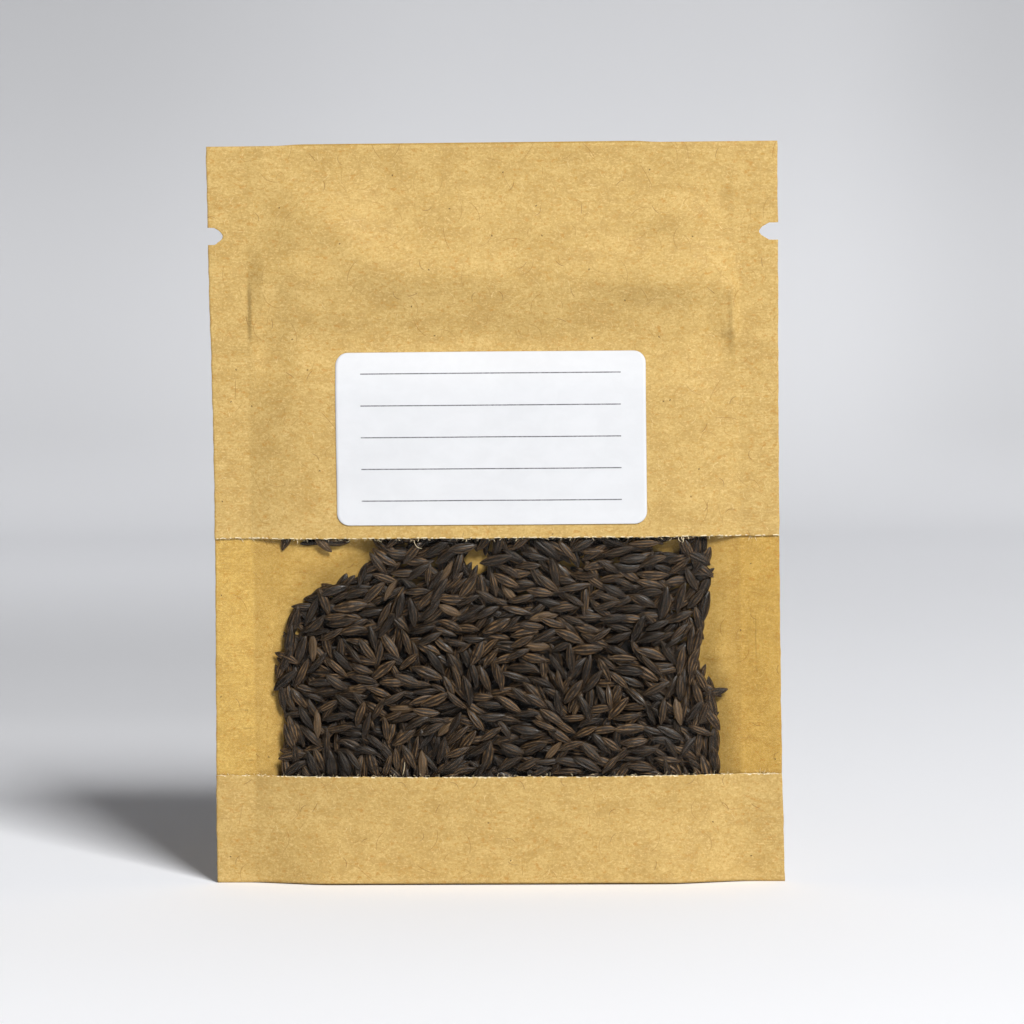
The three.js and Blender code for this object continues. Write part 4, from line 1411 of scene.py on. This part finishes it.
class PACKET_OT_upper_sheet(bpy.types.Operator):
    """Build the upper front paper, from the window's top edge to the mouth"""
    bl_idname = "packet.upper_sheet"
    bl_label = "Upper front kraft sheet"

    def execute(self, context):
        own = settings().kraft
        paper = own.thickness / MM
        zip_heights = [ZIP_BOTTOM - 0.3, ZIP_BOTTOM, ZIP_TOP, ZIP_TOP + 0.25, ZIP_TOP + 0.5]
        extra = np.concatenate([notch_rows(), [42.87, 43.05, 43.4], zip_heights])
        outer, inner = [], []
        for z in spaced_rows(WINDOW_TOP, PACKET_HEIGHT, 0.45, extra):
            x = sheet_columns(z)
            near = 1 - step_between(z, WINDOW_TOP, WINDOW_TOP + 1.0)
            gap = inner_front(x, np.full(x.shape, z)) + 0.06 * near
            inner.append(row_of_points(x, -gap, z + near * 0.7 * deckle_edge(x, UPPER_EDGE_DRAW + 1)))
            outer.append(row_of_points(x, -(gap + paper), z + near * deckle_edge(x, UPPER_EDGE_DRAW)))
        count = own.fringe_fibres - own.fringe_fibres // 2
        loose = fringe(WINDOW_TOP, -1, count, UPPER_EDGE_DRAW, UPPER_WISPS)
        torn = 0, UPPER_TORN_DRAW, 0.0
        add_kraft_sheet("upper_front_kraft_sheet_paper", "upper_front_kraft_sheet", outer, inner, torn, loose)
        return {"FINISHED"}


class PACKET_OT_window_film(bpy.types.Operator):
    """Build the clear film behind the window"""
    bl_idname = "packet.window_film"
    bl_label = "Window film"

    def execute(self, context):
        thick = settings().film.thickness / MM
        outer, inner = [], []
        for z in np.linspace(FILM_BOTTOM, FILM_TOP, 73):
            x = strip_columns(z)
            heights = np.full(x.shape, z)
            press = 0.03 * crumple(x, heights, FILM_DRAW, [5.0, 7.5, 12.0])
            press = press * smooth((29.0 - np.abs(x)) / 5)
            gap = inner_front(x, heights) - 0.02 + np.minimum(press, 0.01)
            outer.append(row_of_points(x, -gap, z))
            inner.append(row_of_points(x, -(gap - thick), z))
        points, faces, marks = sheet(np.array(outer), np.array(inner), ONE_MATERIAL)
        piece = add_piece("window_film_clear", points, faces, [film_material()], marks)
        settle(piece, "window_film")
        return {"FINISHED"}


class PACKET_OT_zip(bpy.types.Operator):
    """Build the press-to-close zip's two strips"""
    bl_idname = "packet.zip"
    bl_label = "Zip strips"

    def strip(self, name, node, side, outlines, material):
        """One flange from side to side, with the profiles that it carries"""
        thick = settings().zip.flange / MM
        face = inner_front if side < 0 else inner_back
        outer, inner = [], []
        for z in np.linspace(ZIP_BOTTOM, ZIP_TOP, 25):
            x = strip_columns(z)
            gap = face(x, np.full(x.shape, z)) - 0.02
            outer.append(row_of_points(x, side * gap, z))
            inner.append(row_of_points(x, side * np.maximum(gap - thick, 0.005), z))
        points, faces, _ = sheet(np.array(outer), np.array(inner))
        parts = [(points, faces, 0)]
        xs = np.linspace(-ZIP_HALF_LENGTH, ZIP_HALF_LENGTH, 60)
        root = side * (face(xs, np.full(xs.shape, ZIP_RIB_HEIGHT)) - 0.05)
        for outline in outlines:
            rows = [
                [(x, base if y is None else y, ZIP_RIB_HEIGHT + z) for y, z in outline]
                for x, base in zip(xs, root)
            ]
            parts.append((np.array(rows).reshape(-1, 3), ring_walls(len(xs), len(outline)), 0))
        points, faces, marks = join(parts)
        piece = add_piece(name, points, faces, [material], marks, smooth_shading=False)
        settle(piece, node)

    def execute(self, context):
        material = zip_material()
        lower_jaw = [(y, -z) for y, z in ZIP_JAW][::-1]
        self.strip("zip_rib_strip_plastic", "zip_rib_strip", -1, [ZIP_RIB], material)
        self.strip("zip_groove_strip_plastic", "zip_groove_strip", 1, [ZIP_JAW, lower_jaw], material)
        return {"FINISHED"}


class PACKET_OT_label(bpy.types.Operator):
    """Build the label on the upper front"""
    bl_idname = "packet.label"
    bl_label = "Label"

    def execute(self, context):
        thick = settings().label.thickness / MM
        paper = settings().kraft.thickness / MM
        half_w, half_h = LABEL_SIZE[0] / 2, LABEL_SIZE[1] / 2
        straight = half_h - LABEL_CORNER
        corner = straight + LABEL_CORNER * np.sin(np.linspace(0, 1, 9) * np.pi / 2)
        rows = np.concatenate([-corner[::-1], np.linspace(-straight, straight, 40)[1:-1], corner])
        shares = np.linspace(-1, 1, 121)
        outer, inner = [], []
        for row in rows:
            beyond = max(0.0, abs(row) - straight)
            reach = half_w - LABEL_CORNER + math.sqrt(max(LABEL_CORNER ** 2 - beyond ** 2, 0.0))
            for face, inset, up in ((inner, 0.0, 0.02), (outer, 0.03, 0.02 + thick)):
                x = LABEL_MIDDLE[0] + shares * (reach - inset)
                z = np.full(x.shape, LABEL_MIDDLE[1] + row * (1 - inset / half_h))
                lift = 0.05 * step_between(-row, 8.5, 10.6)
                lift = lift + 0.03 * step_between(np.abs(x - LABEL_MIDDLE[0]), 17.0, 19.0)
                face.append(row_of_points(x, -(inner_front(x, z) + paper + up + lift), z))
        points, faces, marks = sheet(np.array(outer), np.array(inner), ONE_MATERIAL)
        piece = add_piece("label_sticker", points, faces, [label_material()], marks)
        settle(piece, "label")
        return {"FINISHED"}


class PACKET_OT_seeds(bpy.types.Operator):
    """Lay the lettuce seeds in the packet"""
    bl_idname = "packet.seeds"
    bl_label = "Lettuce seeds"

    def execute(self, context):
        own = settings().seeds
        heap = Heap(own)
        places = heap.fill()
        print("seeds laid:", len(places))
        points, faces, marks = seed_points(own, places)
        core_points, core_faces, _ = heap_core()
        # The core takes the darkest seed colour without ribs: painted shade of the seeds deep in the heap.
        core_shade_marks = np.tile([0.33, 0.5, 0.0], (len(core_points), 1))
        points, faces, _ = join([(points, faces, 0), (core_points, core_faces, 0)])
        marks = {"seed_marks": np.concatenate([marks, core_shade_marks])}
        piece = add_piece("lettuce_seeds_heap", points, faces, [seed_material()], marks=marks)
        settle(piece, "lettuce_seeds")
        return {"FINISHED"}


class PACKET_OT_stage(bpy.types.Operator):
    """Set up the floor, backdrop, lights and camera"""
    bl_idname = "packet.stage"
    bl_label = "Stage"

    def sweep(self):
        """Floor and backdrop in one sheet of paper with a soft bend"""
        start, radius, height = 0.52, 0.22, 1.4
        turns = np.linspace(0, np.pi / 2, 24)
        profile = [(-1.6, 0.0), (-0.6, 0.0), (0.0, 0.0)]
        profile += [(start + radius * math.sin(t), radius - radius * math.cos(t)) for t in turns]
        profile += [(start + radius, height)]
        across = np.linspace(-1.8, 1.8, 13)
        points = [(x / MM, y / MM, z / MM) for y, z in profile for x in across]
        n = len(across)
        faces = [
            [r * n + k, r * n + k + 1, (r + 1) * n + k + 1, (r + 1) * n + k]
            for r in range(len(profile) - 1) for k in range(n - 1)
        ]
        add_piece("paper_sweep", points, faces, [stage_material()])

    def light(self, name, place, aim, size, power, tone):
        """A soft rectangular light, size wide and high in metres"""
        lamp = bpy.data.lights.new(name, "AREA")
        lamp.shape = "RECTANGLE"
        lamp.size, lamp.size_y = size
        lamp.energy = power
        lamp.color = tone
        holder = bpy.data.objects.new(name, lamp)
        holder.location = place
        holder.rotation_euler = (Vector(aim) - Vector(place)).to_track_quat("-Z", "Y").to_euler()
        bpy.context.scene.collection.objects.link(holder)

    def camera(self):
        """A long lens in front of the packet, a little to its right and above it"""
        azimuth, elevation, roll = math.radians(-3.584), math.radians(4.466), math.radians(-0.666)
        target, distance = Vector((2.08, 0.0, 45.81)) * MM, 0.7
        level = math.cos(elevation)
        forward = Vector((math.sin(azimuth) * level, math.cos(azimuth) * level, -math.sin(elevation)))
        right = forward.cross(Vector((0, 0, 1))).normalized()
        up = right.cross(forward)
        turned_right = right * math.cos(roll) + up * math.sin(roll)
        turned_up = up * math.cos(roll) - right * math.sin(roll)
        data = bpy.data.cameras.new("camera")
        data.lens = 200.3
        data.sensor_width = 36.0
        data.clip_start = 0.05
        camera = bpy.data.objects.new("camera", data)
        facing = Matrix((turned_right, turned_up, -forward)).transposed().to_4x4()
        camera.matrix_world = Matrix.Translation(target - forward * distance) @ facing
        bpy.context.scene.collection.objects.link(camera)
        bpy.context.scene.camera = camera

    def execute(self, context):
        own = settings().stage
        self.sweep()
        turn, rise, away = math.radians(26.0), math.radians(37), 1.6
        level = math.cos(rise)
        key = Vector((math.sin(turn) * level, -math.cos(turn) * level, math.sin(rise))) * away
        middle = Vector((0, 0, 0.045))
        self.light("key light", key + middle, middle, (0.44, 0.52), own.key_power, (1.0, 0.993, 0.98))
        fill = (0.75, -1.3, 1.5)
        self.light("fill light", fill, (0, 0.1, 0), (1.2, 1.2), own.fill_power, (1.0, 0.93, 0.86))
        world = bpy.data.worlds.new("even light")
        world.use_nodes = True
        back = world.node_tree.nodes["Background"]
        back.inputs["Color"].default_value = (1.0, 0.84, 0.70, 1.0)
        back.inputs["Strength"].default_value = own.sky
        context.scene.world = world
        context.scene.view_settings.view_transform = "Standard"
        context.scene.view_settings.look = "None"
        self.camera()
        return {"FINISHED"}


class PacketSettings(bpy.types.PropertyGroup):
    """All settings of the seed packet"""
    kraft: PointerProperty(type=KraftSettings)
    film: PointerProperty(type=FilmSettings)
    zip: PointerProperty(type=ZipSettings)
    label: PointerProperty(type=LabelSettings)
    seeds: PointerProperty(type=SeedSettings)
    stage: PointerProperty(type=StageSettings)


class PACKET_PT_sidebar(bpy.types.Panel):
    """The seed packet's pieces and settings"""
    bl_idname = "PACKET_PT_sidebar"
    bl_label = "Seed packet"
    bl_space_type = "VIEW_3D"
    bl_region_type = "UI"
    bl_category = "Packet"

    def draw(self, context):
        own = context.scene.seed_packet
        for group, operators in (
            ("kraft", ("folded_sheet", "upper_sheet")), ("film", ("window_film",)), ("zip", ("zip",)),
            ("label", ("label",)), ("seeds", ("seeds",)), ("stage", ("stage",)),
        ):
            box = self.layout.box()
            for name in getattr(own, group).bl_rna.properties.keys():
                if name not in ("rna_type", "name"):
                    box.prop(getattr(own, group), name)
            for operator in operators:
                box.operator("packet." + operator)


CLASSES = (
    KraftSettings, FilmSettings, ZipSettings, LabelSettings, SeedSettings, StageSettings, PacketSettings,
    PACKET_OT_folded_sheet, PACKET_OT_upper_sheet, PACKET_OT_window_film, PACKET_OT_zip, PACKET_OT_label,
    PACKET_OT_seeds, PACKET_OT_stage, PACKET_PT_sidebar,
)


def register():
    """Registers the classes and the packet's settings"""
    for cls in CLASSES:
        bpy.utils.register_class(cls)
    bpy.types.Scene.seed_packet = PointerProperty(type=PacketSettings)


def unregister():
    """Takes the settings and the classes out again"""
    del bpy.types.Scene.seed_packet
    for cls in reversed(CLASSES):
        bpy.utils.unregister_class(cls)


def main():
    """Builds the packet and its stage"""
    register()
    bpy.ops.packet.folded_sheet()
    bpy.ops.packet.upper_sheet()
    bpy.ops.packet.window_film()
    bpy.ops.packet.zip()
    bpy.ops.packet.label()
    bpy.ops.packet.seeds()
    bpy.ops.packet.stage()


if __name__ == "__main__":
    main()
